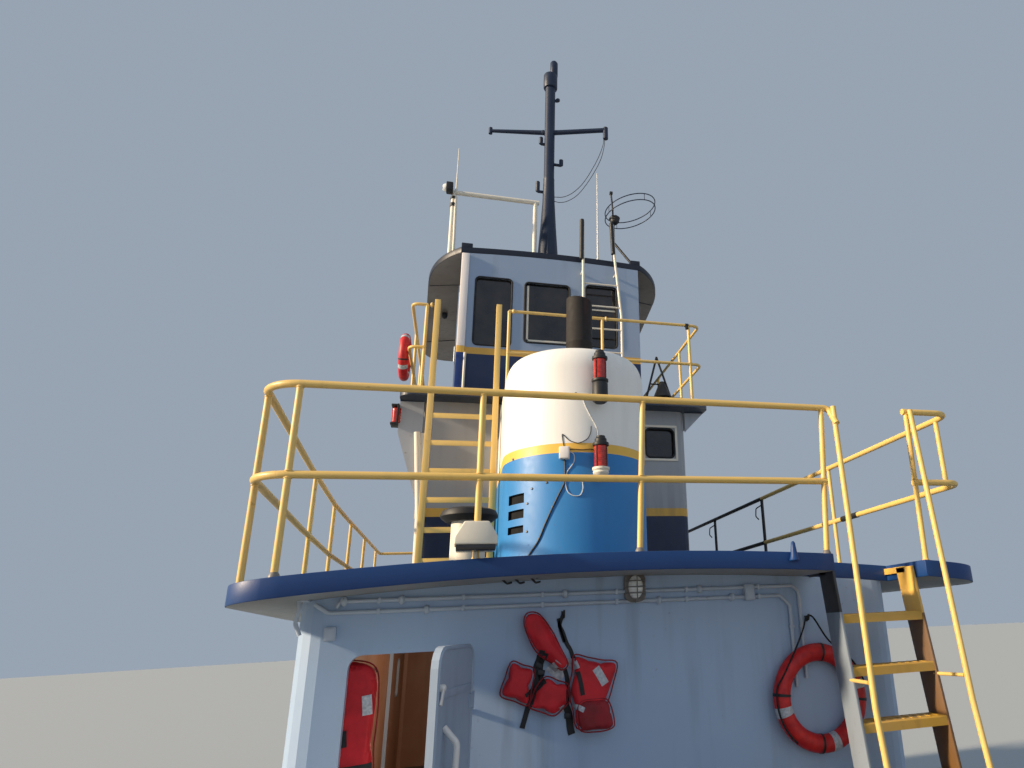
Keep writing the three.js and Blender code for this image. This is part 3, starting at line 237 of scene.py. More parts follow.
# %% The boat's paints
house_enamel = enamel("house_grey_enamel", [(-9, 0x9fb6d2)], room=(1.99, -4.38, 4.33, 0x7a5a48))
box_enamel = enamel("box_grey_enamel", [(-9, 0xa3b3c6)], rust=0.2)
# The deck's underside is white paint given as mid grey: painted shade.
deck_underside_painted_shade = enamel("deck_underside_painted_shade", [(-9, 0x8c8d8c)], grime=0.5)
deck_edge_enamel = enamel("royal_blue_enamel", [(-9, 0x003873)], rough=0.45, fade=0.0, grime=0.08, rust=0.08)
deck_paint = enamel("non_slip_deck_paint", [(-9, 0x51606f)], rough=0.75, stipple=5)
lower_enamel = enamel("lower_house_enamel", [(-9, 0x031d42), (4.31, 0xd9a845), (4.41, 0x9fa1a4)],
                      fade=0.03, room=(1.58, -0.78, 3.98, 0x3a3632))
pilot_enamel = enamel("pilothouse_enamel", [(-9, 0x032450), (6.75, 0xd9a845), (6.85, 0x93a5be)],
                      fade=0.03, room=(1.25, 0.22, 3.88, 0x2c2826))
upper_deck_enamel = enamel("upper_deck_enamel", [(-9, 0xa9aeb6), (5.69, 0x1d2a3e), (5.799, 0x51606f)])
roof_enamel = enamel("roof_navy_enamel", [(-9, 0x061126)], fade=0.0, grime=0.1)
# The roof's underside is a warm grey-brown: painted shade lit by warm bounce, with dark grime over it.
roof_underside_painted_shade = enamel("roof_underside_painted_shade", [(-9, 0x6a625b)], grime=0.6, dirt=0x1d1916)
funnel_enamel = enamel("funnel_enamel", [(-9, 0x2680c4), (4.65, 0xf0bf50), (4.745, 0xf2f0ea)], fade=0.04,
                       grime=0.15, rust=0.25)
yellow_enamel = enamel("yellow_enamel", [(-9, 0xe6c06c)], rough=0.38, fade=0.08, grime=0.3)
tread_enamel = enamel("tread_yellow_enamel", [(-9, 0xc79a2e)], rough=0.5, grime=0.5)
cream_enamel = enamel("cream_enamel", [(-9, 0xe4dccb)], rough=0.4, fade=0.0, rust=0.2)
mast_enamel = enamel("mast_blue_enamel", [(-9, 0x041c3a)], rough=0.45, fade=0.02, rust=0.1)
hull_enamel = enamel("hull_black_enamel", [(-9, 0x6b2420), (0.12, 0x1c2025), (0.999, 0x3c4247),
                                           (1.003, 0x1c2025)],
                     rough=0.45, rust=0.8)
black_enamel = enamel("black_enamel", [(-9, 0x15171a)], rough=0.5, fade=0.03, rust=0.3)
conduit_enamel = enamel("conduit_enamel", [(-9, 0xb4bfcd)], rough=0.45, fade=0.05, rust=0.2)
# Soot and painted shadow behind the louvres: dead black, with no gloss at all.
soot_and_shade = enamel("louvre_soot_and_painted_shadow", [(-9, 0x07080a)], rough=0.9, fade=0.0, grime=0.0, rust=0.0)
engine_enamel = enamel("engine_grey_enamel", [(-9, 0x6d7680)], rough=0.4)
print("enamels:", len(bpy.data.materials))

# %% [markdown]
# A pipe is drawn as a ring of points that is pushed along its path, turned a little at each step, and a
# turned part is a profile spun about its axis. Both leave clean loops, so bends stay round and smooth.


# %% Pieces and bent paths
def piece(name, bm, finish, body="boat", stands_for=(), smooth=32):
    bmesh.ops.remove_doubles(bm, verts=bm.verts, dist=2e-5)
    bmesh.ops.recalc_face_normals(bm, faces=bm.faces)
    mesh = bpy.data.meshes.new(name)
    bm.to_mesh(mesh)
    bm.free()
    for each in finish if isinstance(finish, (list, tuple)) else [finish]:
        mesh.materials.append(each)
    mesh.shade_smooth()
    mesh.set_sharp_from_angle(angle=math.radians(smooth))
    made = bpy.data.objects.new(name, mesh)
    bpy.context.scene.collection.objects.link(made)
    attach(made, body)
    if stands_for:
        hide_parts(*stands_for)
    print(f"{name}: {len(mesh.polygons)} faces")
    return made


def rounded(points, bend=0.1, steps=6):
    """The points of a path whose inner corners are bent round."""
    points = [Vector(p) for p in points]
    path = [points[0]]
    for before, corner, after in zip(points, points[1:], points[2:]):
        back, on = before - corner, after - corner
        reach = min(bend / max(math.tan(back.angle(on) / 2), 0.05), 0.48 * back.length, 0.48 * on.length)
        start, end = corner + back.normalized() * reach, corner + on.normalized() * reach
        for i in range(steps + 1):
            t = i / steps
            path.append(start * (1 - t) ** 2 + corner * 2 * t * (1 - t) + end * t * t)
    path.append(points[-1])
    return path


# %% [markdown]
# A pipe is grown by extruding its ring from point to point, moving it on and turning it by the change of
# direction. Bends are made first, as points on a soft corner, so the pipe never kinks.


# %% Pipes
def pipe(bm, path, radius, sides=14, end_radius=None):
    """A round pipe with closed ends along a path of points, tapered where an end radius is given."""
    points = [Vector(p) for p in path]
    end_radius = radius if end_radius is None else end_radius
    runs = [(b - a).normalized() for a, b in zip(points, points[1:])]
    aims = [runs[0]] + [(a + b).normalized() for a, b in zip(runs, runs[1:])] + [runs[-1]]
    start = Matrix.Translation(points[0]) @ aims[0].to_track_quat("Z", "Y").to_matrix().to_4x4()
    ring = bmesh.ops.create_circle(bm, segments=sides, radius=radius, matrix=start)["verts"]
    edges = list({edge for vert in ring for edge in vert.link_edges})
    bmesh.ops.contextual_create(bm, geom=edges)
    for i in range(1, len(points)):
        grown = bmesh.ops.extrude_edge_only(bm, edges=edges)["geom"]
        ring = [g for g in grown if isinstance(g, bmesh.types.BMVert)]
        edges = [g for g in grown if isinstance(g, bmesh.types.BMEdge)]
        bmesh.ops.translate(bm, vec=points[i] - points[i - 1], verts=ring)
        turn = aims[i - 1].rotation_difference(aims[i]).to_matrix()
        bmesh.ops.rotate(bm, cent=points[i], matrix=turn, verts=ring)
        if end_radius != radius:
            share = i / (len(points) - 1)
            before = (i - 1) / (len(points) - 1)
            change = (radius + (end_radius - radius) * share) / (radius + (end_radius - radius) * before)
            bmesh.ops.scale(bm, vec=(change,) * 3, space=Matrix.Translation(-points[i]), verts=ring)
    bmesh.ops.contextual_create(bm, geom=edges)


def block(bm, low, high, edge=0.004, matrix=None):
    """A box with softened edges."""
    low, high = Vector(low), Vector(high)
    where = Matrix.Translation((low + high) / 2) @ Matrix.Diagonal(high - low).to_4x4()
    verts = bmesh.ops.create_cube(bm, size=1, matrix=(matrix or Matrix()) @ where)["verts"]
    if edge:
        edges = list({e for vert in verts for e in vert.link_edges})
        bmesh.ops.bevel(bm, geom=edges, offset=edge, affect="EDGES", segments=2, profile=0.5, material=-1)


def turned(bm, profile, matrix=Matrix(), steps=24):
    """A profile of (radius, height) points spun about Z, then placed."""
    verts = [bm.verts.new((radius, 0, height)) for radius, height in profile]
    edges = [bm.edges.new(pair) for pair in zip(verts, verts[1:])]
    bmesh.ops.spin(bm, geom=verts + edges, cent=(0, 0, 0), axis=(0, 0, 1), dvec=(0, 0, 0),
                   angle=2 * math.pi, steps=steps, use_merge=True, use_duplicate=False)
    new = set(verts)
    grow = list(verts)  # what the spin made is whatever hangs together with the profile
    while grow:
        vert = grow.pop()
        for edge in vert.link_edges:
            other = edge.other_vert(vert)
            if other not in new:
                new.add(other)
                grow.append(other)
    bmesh.ops.transform(bm, matrix=matrix, verts=list(new))


# %% [markdown]
# Doors, panes and boxes start as flat outlines, which are given thickness and laid on a wall by a frame
# whose Z points out of it. Where two pipes meet, a welder leaves a bead, and a tiny turned ring is that.


# %% Plates, places on a wall and weld beads
def corner_outline(width, height, corner, steps=6):
    """A flat rectangle with round corners about the middle, as points."""
    points = []
    for i, (sx, sy) in enumerate([(1, 1), (-1, 1), (-1, -1), (1, -1)]):
        cx, cy = sx * (width / 2 - corner), sy * (height / 2 - corner)
        for j in range(steps + 1):
            angle = math.pi / 2 * (i + j / steps)
            points.append((cx + corner * math.cos(angle), cy + corner * math.sin(angle)))
    return points


def plate(bm, outline, thick, matrix=Matrix(), edge=0.003):
    """A flat plate from an outline, up from its own plane, with softened edges."""
    part = bmesh.new()
    part.faces.new([part.verts.new((x, y, 0)) for x, y in outline])
    grown = bmesh.ops.extrude_face_region(part, geom=list(part.faces))["geom"]
    raised = [g for g in grown if isinstance(g, bmesh.types.BMVert)]
    bmesh.ops.translate(part, vec=(0, 0, thick), verts=raised)
    if edge:
        rim = [e for e in part.edges if e.calc_face_angle(0) > 1.2]
        bmesh.ops.bevel(part, geom=rim, offset=edge, affect="EDGES", segments=2, profile=0.5, material=-1)
    join(bm, part, matrix)


def join(bm, part, matrix=Matrix()):
    carrier = bpy.data.meshes.new("carrier")
    part.to_mesh(carrier)
    part.free()
    carrier.transform(matrix)
    bm.from_mesh(carrier)
    bpy.data.meshes.remove(carrier)


def facing(outward, place):
    """A frame whose Z points out of a wall and whose Y points up, at a place on the wall."""
    out = Vector(outward).normalized()
    along = Vector((0, 0, 1)).cross(out)
    return Matrix.Translation(place) @ Matrix((along, out.cross(along), out)).transposed().to_4x4()


def bead(bm, centre, axis, radius, size=0.005):
    """A weld bead round a pipe where it meets another."""
    aim = Vector(axis).to_track_quat("Z", "Y").to_matrix().to_4x4()
    turned(bm, [(radius, -size), (radius + size * 0.8, -size * 0.3), (radius + size * 0.8, size * 0.4),
                (radius, size)], Matrix.Translation(centre) @ aim, 14)


# %% [markdown]
# Plates whose shape is already right in the frame keep it and only get their paint. The insides of the
# houses are another colour than their outsides, and the place on the plate tells which side it is.

# %% Paint on the plates of the frame
DECK_AFT, DECK_FORE = -4.95, 4.75
DECK_TOP, DECK_THICK, CAMBER = 3.455, 0.115, 0.0225
ROOF_TOP = 8.485
HOUSE_AFT, LOWER_AFT, PILOT_AFT = -4.45, -0.85, 0.15


def deck_top(x):
    """The height of the cambered boat deck."""
    return DECK_TOP - CAMBER * x * x


def roof_top(x):
    """The height of the cambered pilothouse roof."""
    return ROOF_TOP - CAMBER * x * x


def dress(nodes, finish):
    """New paint on plates of the frame, named in one line of words."""
    for name in nodes.split():
        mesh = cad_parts[name].data
        mesh.materials.clear()
        mesh.materials.append(finish)


dress("hull tow_knee_port tow_knee_starboard hatch_lid rudder_port rudder_starboard", hull_enamel)
dress("winch_frame_port winch_frame_starboard console", black_enamel)
dress("engine_port engine_starboard", engine_enamel)
dress("deckhouse", house_enamel)
dress("lower_house", lower_enamel)
dress("pilothouse", pilot_enamel)
dress("upper_deck", upper_deck_enamel)
dress("side_door_port side_door_starboard aft_door lower_house_door", box_enamel)
dress("pilothouse_door_port pilothouse_door_starboard", box_enamel)
dress("searchlight", cream_enamel)

# %% [markdown]
# Fenders are extruded black rubber, greyed and scuffed by every lock wall. Propellers are cast bronze that
# turns brown in the water and stays bright only where sand polishes it.

# %% Rubber, bronze and bare steel
# Extruded rubber: matt black, scuffed grey in upright streaks.
rubber, tree, shader, place = surface("weathered_rubber", Roughness=0.8)
scuffs = ramp(tree, cloud(tree, place, 90, 6, (1, 1, 0.3)), 0.45, 0.75)
tree.links.new(mixed(tree, scuffs, linear(0x141516), linear(0x3f4142)), shader.inputs["Base Color"])
worn = node(tree, "Bump", {"Height": cloud(tree, place, 12, 4), "Strength": 0.5, "Distance": 0.003})
tree.links.new(worn.outputs[0], shader.inputs["Normal"])
# Manganese bronze, sand cast and ground: warm metal under brown tarnish.
bronze, tree, shader, place = surface("cast_bronze", Metallic=1.0)
tarnish = ramp(tree, cloud(tree, place, 70, 5), 0.35, 0.7)
tree.links.new(mixed(tree, tarnish, linear(0xa5733d), linear(0x4d3a25)), shader.inputs["Base Color"])
tree.links.new(node(tree, "MapRange", {"Value": tarnish, "To Min": 0.28, "To Max": 0.65}).outputs[0],
               shader.inputs["Roughness"])
# Mild steel, hot dip galvanised: grey metal whose 12 mm spangle flickers a little.
steel, tree, shader, place = surface("galvanised_steel", Metallic=1.0)
spangle = node(tree, "TexVoronoi", {"Vector": place, "Scale": per(12)}).outputs["Distance"]
tree.links.new(mixed(tree, spangle, linear(0x8d9296), linear(0xb9bdc0)), shader.inputs["Base Color"])
tree.links.new(node(tree, "MapRange", {"Value": spangle, "To Min": 0.35, "To Max": 0.6}).outputs[0],
               shader.inputs["Roughness"])
dress("fender knee_pad_port knee_pad_starboard", rubber)
dress("propeller_port propeller_starboard", bronze)
dress("winch_drum_port winch_drum_starboard", steel)

# %% [markdown]
# The boat deck and the pilothouse roof are cambered plates: water runs off to both sides. Each is drawn as
# one flat outline with round corners, sliced lengthwise so that it can bend, lowered towards the sides and
# then given its thickness. Its edge, top and underside have paints of their own.


# %% Cambered plates
def curve(start, control, end, steps=10):
    points = []
    for i in range(steps + 1):
        t = i / steps
        points.append([start[k] * (1 - t) ** 2 + control[k] * 2 * t * (1 - t) + end[k] * t * t
                       for k in (0, 1)])
    return points


def cambered_plate(name, plan, top_of, thick, finishes, node_name):
    bm = bmesh.new()
    bm.faces.new([bm.verts.new((x, y, 0)) for x, y in plan])
    for i in range(-10, 11):
        bmesh.ops.bisect_plane(bm, geom=bm.verts[:] + bm.edges[:] + bm.faces[:], plane_co=(i * 0.24, 0, 0),
                               plane_no=(1, 0, 0), dist=1e-5)
    for vert in bm.verts:
        vert.co.z = top_of(vert.co.x)
    grown = bmesh.ops.extrude_face_region(bm, geom=bm.faces[:])["geom"]
    lower = [g for g in grown if isinstance(g, bmesh.types.BMVert)]
    bmesh.ops.translate(bm, vec=(0, 0, -thick), verts=lower)
    bmesh.ops.recalc_face_normals(bm, faces=bm.faces)
    for face in bm.faces:
        face.material_index = 0 if abs(face.normal.z) < 0.5 else (1 if face.normal.z > 0 else 2)
    rim = [e for e in bm.edges if len(e.link_faces) == 2 and e.calc_face_angle(0) > 1.2]
    bmesh.ops.bevel(bm, geom=rim, offset=0.006, affect="EDGES", segments=2, profile=0.5, material=0)
    return piece(name, bm, finishes, stands_for=[node_name])


NOTCH = (1.33, 2.06)
plan = [(NOTCH[1], HOUSE_AFT), (NOTCH[1], DECK_AFT)]
plan += curve((2.25, DECK_AFT), (2.6, DECK_AFT), (2.6, -4.6))
plan += curve((2.6, 4.5), (2.6, DECK_FORE), (2.35, DECK_FORE))
plan += curve((-2.35, DECK_FORE), (-2.6, DECK_FORE), (-2.6, 4.5))
plan += [(-2.6, 0.5), (-2.59, -0.6), (-2.5, -2.6)]
plan += curve((-2.38, -4.665), (-2.35, DECK_AFT), (-2.06, DECK_AFT))
plan += [(NOTCH[0], DECK_AFT), (NOTCH[0], HOUSE_AFT)]
cambered_plate("boat_deck_plate", plan, deck_top, DECK_THICK, [deck_edge_enamel, deck_paint, deck_underside_painted_shade],
               "boat_deck")
plan = [(-1.36, PILOT_AFT)] + curve((1.36, PILOT_AFT), (1.79, 0.48), (1.85, 1.17))
plan += curve((2.03, 4.1), (2.02, 4.56), (1.5, 4.65)) + curve((-1.5, 4.65), (-2.02, 4.56), (-2.03, 4.1))
plan += curve((-1.85, 1.17), (-1.79, 0.48), (-1.36, PILOT_AFT))[:-1]
cambered_plate("pilothouse_roof_plate", plan, roof_top, 0.1, [roof_enamel, deck_paint, roof_underside_painted_shade],
               "pilothouse_roof")

# %% [markdown]
# The roof's overhangs are welded from sheets, and a small lip stands on each aft corner. A seam is a thin
# pipe that follows the camber of the plate.

# %% Seams, corner lips and the small lamp on the roof
bm = bmesh.new()
for side in (-1, 1):
    for inner_y, outer_y, reach in ((1.19, 1.25, 1.83), (3.5, 3.59, 1.98)):
        path = []
        for i in range(7):
            x = 1.335 + (reach - 1.335) * i / 6
            path.append((side * x, inner_y + (outer_y - inner_y) * i / 6, roof_top(x) - 0.101))
        pipe(bm, path, 0.007, 8)
    block(bm, (side * 1.28 - 0.08, PILOT_AFT - 0.002, roof_top(1.28) - 0.01),
          (side * 1.28 + 0.08, PILOT_AFT + 0.12, roof_top(1.28) + 0.07), 0.01)
piece("roof_seams_and_lips", bm, roof_enamel)
bm = bmesh.new()
turned(bm, [(0, 0), (0.045, 0), (0.05, 0.01), (0.05, 0.05), (0.035, 0.09), (0.012, 0.105), (0, 0.107)],
       Matrix.Translation((-1.62, 2.3, roof_top(1.62) - 0.0995)) @ Matrix.Rotation(math.pi, 4, "X"), 20)
piece("overhang_lamp", bm, black_enamel)

# %% [markdown]
# The funnel casing is round aft and flat against the lower house. Its top is drawn in softly, which a
# spinner would make as a knuckle: the flat top face is inset again and again along a quarter curve. The
# three louvres are faces of the round side that are inset and pushed inwards.

# %% Funnel casing
FUNNEL_R, FUNNEL_Y, FUNNEL_FORE = 0.76, -1.95, -0.8503
FUNNEL_SHOULDER, FUNNEL_TOP = 5.55, 5.80
LOUVRES = ((3.945, 0.036), (4.095, 0.044), (4.245, 0.048))
LOUVRE_ANGLES = (202, 222)


def arc(cx, cy, radius, start, end, steps=12):
    angles = [math.radians(start + (end - start) * i / steps) for i in range(steps + 1)]
    return [(cx + radius * math.cos(a), cy + radius * math.sin(a)) for a in angles]


def on_funnel(angle, z, off=0.0):
    x, y = arc(0, FUNNEL_Y, FUNNEL_R + off, angle, angle, 1)[0]
    return Vector((x, y, z))


bm = bmesh.new()
plan = arc(0, FUNNEL_Y, FUNNEL_R, 180, 360, 48)
plan += [(FUNNEL_R, FUNNEL_FORE), (-FUNNEL_R, FUNNEL_FORE)]
top = bm.faces.new([bm.verts.new((x, y, deck_top(x) - 0.002)) for x, y in plan])
top = [g for g in bmesh.ops.extrude_face_region(bm, geom=[top])["geom"] if isinstance(g, bmesh.types.BMFace)]
for vert in top[0].verts:
    vert.co.z = FUNNEL_SHOULDER
SHOULDER_STEPS = 8
for i in range(SHOULDER_STEPS):
    a, b = (math.pi / 2 * k / SHOULDER_STEPS for k in (i, i + 1))
    inwards = 0.12 * (math.cos(a) - math.cos(b))
    upwards = (FUNNEL_TOP - FUNNEL_SHOULDER) * (math.sin(b) - math.sin(a))
    bmesh.ops.inset_region(bm, faces=top, thickness=inwards, depth=0, use_even_offset=True)
    bmesh.ops.translate(bm, vec=(0, 0, upwards), verts=list(top[0].verts))
bmesh.ops.recalc_face_normals(bm, faces=bm.faces)
slots = []
for middle, half in LOUVRES:
    for z in (middle - half, middle + half):
        bmesh.ops.bisect_plane(bm, geom=bm.verts[:] + bm.edges[:] + bm.faces[:], plane_co=(0, 0, z),
                               plane_no=(0, 0, 1), dist=1e-5)
for middle, half in LOUVRES:
    slot = []
    for face in bm.faces:
        spot = face.calc_center_median()
        angle = math.degrees(math.atan2(spot.y - FUNNEL_Y, spot.x)) % 360
        if LOUVRE_ANGLES[0] < angle < LOUVRE_ANGLES[1] and abs(spot.z - middle) < half * 0.9:
            slot.append(face)
    slots.append(slot)
for slot in slots:
    pushed = bmesh.ops.inset_region(bm, faces=slot, thickness=0.004, depth=-0.03, use_even_offset=True)
    for face in slot + pushed["faces"]:
        face.material_index = 1
piece("funnel_casing", bm, [funnel_enamel, soot_and_shade], stands_for=["stack_casing"])

# %% [markdown]
# Rails are one size of steel pipe, bent round at the corners and welded where they meet, so every joint gets
# a bead. The port top rail doesn't stop at the ladder: it bends over and runs down as the ladder's handrail.

# %% Boat deck rails
RAIL_TOP, RAIL_MID, RAIL_R, POST_R = 4.49, 3.932, 0.024, 0.02
RAIL_Y, RAIL_X, RAIL_FORE = -4.89, 2.55, 4.64
PORT_SIDE = [(-2.33, -4.665), (-2.45, -2.6), (-2.54, -0.6), (-2.55, 0.5), (-2.55, 4.64)]
HANDRAIL_R = 0.02
BESIDE_RAIL = RAIL_Y - RAIL_R - HANDRAIL_R - 0.002
LADDER_FOOT, LADDER_HEAD, UPPER_LADDER_HEAD = 1.0003, 3.33, 6.86


def port_rail_x(y):
    """The port rail draws in towards the stern with the deck's edge."""
    for (x0, y0), (x1, y1) in zip(PORT_SIDE, PORT_SIDE[1:]):
        if y <= y1:
            return x0 + (x1 - x0) * (y - y0) / (y1 - y0)


def ladder_y(z):
    """The aft ladder's centre line."""
    return -5.05 + 0.34 * (z - LADDER_FOOT) / (LADDER_HEAD - LADDER_FOOT)


def post(bm, x, y, lean=0.0, foot=None, top=RAIL_TOP, radius=POST_R, middle=RAIL_MID, rail=RAIL_R):
    foot = deck_top(x) if foot is None else foot
    pipe(bm, [(x, y, foot), (x + lean, y, top)], radius, 12)
    bead(bm, (x, y, foot + 0.006), (0, 0, 1), radius, 0.008)
    bead(bm, (x + lean, y, top - rail * 0.9), (0, 0, 1), radius)
    share = (middle - foot) / (top - foot)
    bead(bm, (x + lean * share, y, middle - rail * 0.9), (0, 0, 1), radius)
    bead(bm, (x + lean * share, y, middle + rail * 0.9), (0, 0, 1), radius)


def handrail_path(x, outside, top_x, top_y):
    clear = ladder_y(2.45) - 0.35
    return [(x, ladder_y(1.25) - 0.06, 1.25), (outside, ladder_y(1.45) - 0.35, 1.45),
            (outside, clear, 2.45), (top_x, top_y, RAIL_TOP)]


# %% [markdown]
# The port rail follows the deck's edge round the stern in one bend and ends as the ladder's handrail.

# %% Port rail
bm = bmesh.new()
corner = arc(-2.105, -4.665, 0.225, 180, 270, 8)
route = [(-0.3, RAIL_FORE)] + PORT_SIDE[:0:-1]
for z, end in ((RAIL_TOP, []), (RAIL_MID, [(1.375, RAIL_Y, RAIL_MID)])):
    path = rounded([(x, y, z) for x, y in route], 0.08) + [Vector((x, y, z)) for x, y in corner]
    if not end:
        end = rounded([(-1, RAIL_Y, z), (1.46, RAIL_Y, z), (1.475, BESIDE_RAIL - 0.03, z - 0.14)], 0.05)[1:]
    pipe(bm, path + [Vector(p) for p in end], RAIL_R)
for x, lean in ((1.312, 0.09), (-0.03, 0.05), (-1.044, 0), (-2.111, 0)):
    post(bm, x, RAIL_Y, lean)
post(bm, -2.33, -4.665)
for y in (-2.21, -0.6, 0.85, 2.35, 4.0):
    post(bm, port_rail_x(y), y)
for x in (-1.9, -0.308):
    post(bm, x, RAIL_FORE)
piece("boat_deck_port_rail", bm, yellow_enamel, stands_for=["boat_deck_rail_port"])

# %% [markdown]
# To starboard the rail is yellow aft and dark forward of one post, with hooks for gear and black tape
# wound on the middle rail. Yellow and dark parts are pieces of their own, so that each has its own paint.

# %% Starboard rails
SPLIT_Y = -1.105
bm = bmesh.new()
for z in (RAIL_TOP, RAIL_MID):
    route = [(2.11, RAIL_Y, z), (RAIL_X, RAIL_Y, z), (RAIL_X, SPLIT_Y, z)]
    pipe(bm, rounded(route, 0.15, 8), RAIL_R)
post(bm, 2.112, RAIL_Y, 0.03)
post(bm, RAIL_X, -2.89)
pipe(bm, [(RAIL_X, RAIL_Y + 0.18, RAIL_MID), (RAIL_X, RAIL_Y + 0.18, RAIL_TOP)], POST_R, 12)
piece("boat_deck_starboard_rail", bm, yellow_enamel, stands_for=["boat_deck_rail_starboard"])
bm = bmesh.new()
for z in (RAIL_TOP, RAIL_MID):
    pipe(bm, rounded([(RAIL_X, SPLIT_Y, z), (RAIL_X, RAIL_FORE, z), (0.3, RAIL_FORE, z)], 0.15, 8), RAIL_R)
for y in (SPLIT_Y, 0.69, 2.5, 4.2):
    post(bm, RAIL_X, y)
    hook = [(RAIL_X - 0.02, y, 4.4), (RAIL_X - 0.09, y, 4.36), (RAIL_X - 0.1, y, 4.26),
            (RAIL_X - 0.06, y, 4.22)]
    pipe(bm, rounded(hook, 0.03, 4), 0.008, 8)
for x in (1.9, 0.308):
    post(bm, x, RAIL_FORE)
piece("boat_deck_grey_rail", bm, black_enamel)
bm = bmesh.new()
for y0, y1 in ((-3.35, -3.05), (-2.75, -2.66)):
    pipe(bm, [(RAIL_X, y0, RAIL_MID), (RAIL_X, y0 + 0.01, RAIL_MID), (RAIL_X, y1, RAIL_MID)], RAIL_R + 0.004,
         14)
piece("rail_tape_wraps", bm, black_enamel)

# %% [markdown]
# These rails are the same work in thinner pipe, so one function with the route and the posts makes both
# sides.

# %% Upper deck rails
UPPER_TOP, UPPER_MID, UPPER_R, UPPER_X = 6.89, 6.32, 0.02, 1.86
UPPER_AFT, UPPER_FORE, UPPER_DECK = -1.05, 4.39, 5.8


def upper_rail(name, route, posts):
    bm = bmesh.new()
    for z in (UPPER_TOP, UPPER_MID):
        pipe(bm, rounded([(x, y, z) for x, y in route], 0.12), UPPER_R)
    for x, y in posts:
        post(bm, x, y, 0, UPPER_DECK, UPPER_TOP, UPPER_R, UPPER_MID, UPPER_R)
    for x, y in posts[:2]:
        bead(bm, (x + 0.05, y, UPPER_TOP), (1, 0, 0), UPPER_R, 0.016)
    piece(name, bm, yellow_enamel, stands_for=[name.replace("pipe", "rail")])


SIDE_POSTS = (-0.1, 1.1, 2.3, 3.5, 4.3)
upper_rail("upper_deck_pipe_starboard",
           [(-0.706, UPPER_AFT), (UPPER_X, UPPER_AFT), (UPPER_X, UPPER_FORE), (0.25, UPPER_FORE)],
           [(-0.7, UPPER_AFT), (0.5, UPPER_AFT), (1.7, UPPER_AFT), (0.256, UPPER_FORE)]
           + [(UPPER_X, y) for y in SIDE_POSTS])
upper_rail("upper_deck_pipe_port",
           [(-1.68, UPPER_AFT), (-UPPER_X, UPPER_AFT), (-UPPER_X, UPPER_FORE), (-0.25, UPPER_FORE)],
           [(-1.686, UPPER_AFT), (-0.256, UPPER_FORE)] + [(-UPPER_X, y) for y in SIDE_POSTS])
bm = bmesh.new()
pipe(bm, [(1.655, UPPER_AFT, UPPER_TOP), (1.66, UPPER_AFT, UPPER_TOP), (1.70, UPPER_AFT, UPPER_TOP)], 0.027,
     14)
block(bm, (1.66, UPPER_AFT - 0.03, UPPER_TOP - 0.06), (1.695, UPPER_AFT + 0.01, UPPER_TOP - 0.015), 0.004)
piece("upper_rail_clamp", bm, black_enamel)

# %% [markdown]
# The aft ladder's sides are broad flat bars and its treads are folded plates, so their edges are soft, not
# sharp. The handrails are bent from one length each and stand well clear of the hand's knuckles.

# %% Aft ladder
SIDES = (1.39, 2.045)
# Ladder paint: a grey bar to port whose dark head is painted shade, and a yellow one to starboard whose
# brown lower part is painted shade.
port_bar_shaded_head_enamel = enamel("ladder_bar_grey_painted_shade_head", [(-9, 0x7f8a96), (3.03, 0x2c2a28)], grime=0.5)
starboard_bar_shaded_foot_enamel = enamel("ladder_bar_yellow_painted_shade_foot", [(-9, 0x6b4a20), (3.0, 0xe6b656)], grime=0.4)


def sideways(x):
    """A frame that lays an outline of (y, z) across the boat, from x to starboard."""
    return Matrix(((0, 0, 1, x), (1, 0, 0, 0), (0, 1, 0, 0), (0, 0, 0, 1)))


for x, name, finish, stands in ((SIDES[0], "aft_ladder_port_bar", port_bar_shaded_head_enamel, ["aft_ladder"]),
                                (SIDES[1], "aft_ladder_starboard_bar", starboard_bar_shaded_foot_enamel, [])):
    bm = bmesh.new()
    low, high = LADDER_FOOT, LADDER_HEAD
    outline = [(ladder_y(low) - 0.1, low), (ladder_y(low) + 0.1, low), (ladder_y(high) + 0.1, high),
               (ladder_y(high) - 0.1, high)]
    plate(bm, outline, 0.02, sideways(x - 0.01), 0.003)
    block(bm, (x - 0.01, -4.72, 3.29), (x + 0.01, HOUSE_AFT - 0.0003, 3.335), 0.002)
    piece(name, bm, finish, stands_for=stands)
bm = bmesh.new()
for i in range(6):
    z = 1.34 + 0.335 * i
    aft, fore = ladder_y(z) - 0.098, ladder_y(z) + 0.098
    fold = [(aft, z - 0.06), (aft, z - 0.008), (aft + 0.008, z), (fore, z), (fore, z - 0.008),
            (aft + 0.012, z - 0.008), (aft + 0.01, z - 0.012), (aft + 0.01, z - 0.06)]
    plate(bm, fold, SIDES[1] - SIDES[0] - 0.02, sideways(SIDES[0] + 0.01), 0)
    for k in range(9):
        cleat = SIDES[0] + 0.06 + 0.067 * k
        block(bm, (cleat, aft + 0.03, z - 0.001), (cleat + 0.02, fore - 0.03, z + 0.003), 0.001)
piece("aft_ladder_treads", bm, tread_enamel)
bm = bmesh.new()
for x, outside, top_x in zip(SIDES, (1.358, 2.077), (1.479, 2.15)):
    pipe(bm, rounded(handrail_path(x, outside, top_x, BESIDE_RAIL), 0.12, 8), HANDRAIL_R)
    pipe(bm, [(x, ladder_y(2.6) - 0.06, 2.6), (outside, ladder_y(2.6) - 0.332, 2.6)], 0.012, 10)
    bead(bm, (x, ladder_y(1.25) - 0.075, 1.262), (0, -1, 0.6), HANDRAIL_R, 0.007)
piece("aft_ladder_handrails", bm, yellow_enamel)


# %% [markdown]
# The ladder to the upper deck has square bars and folded treads, and the roof ladder is bent pipe with
# round rungs. Black sleeves are slid over its tops.

# %% Ladders to the upper deck and the roof
def upper_ladder_y(z):
    """The upper ladder's centre line."""
    return -1.5 + 0.25 * (z - 3.3) / (UPPER_LADDER_HEAD - 3.3)


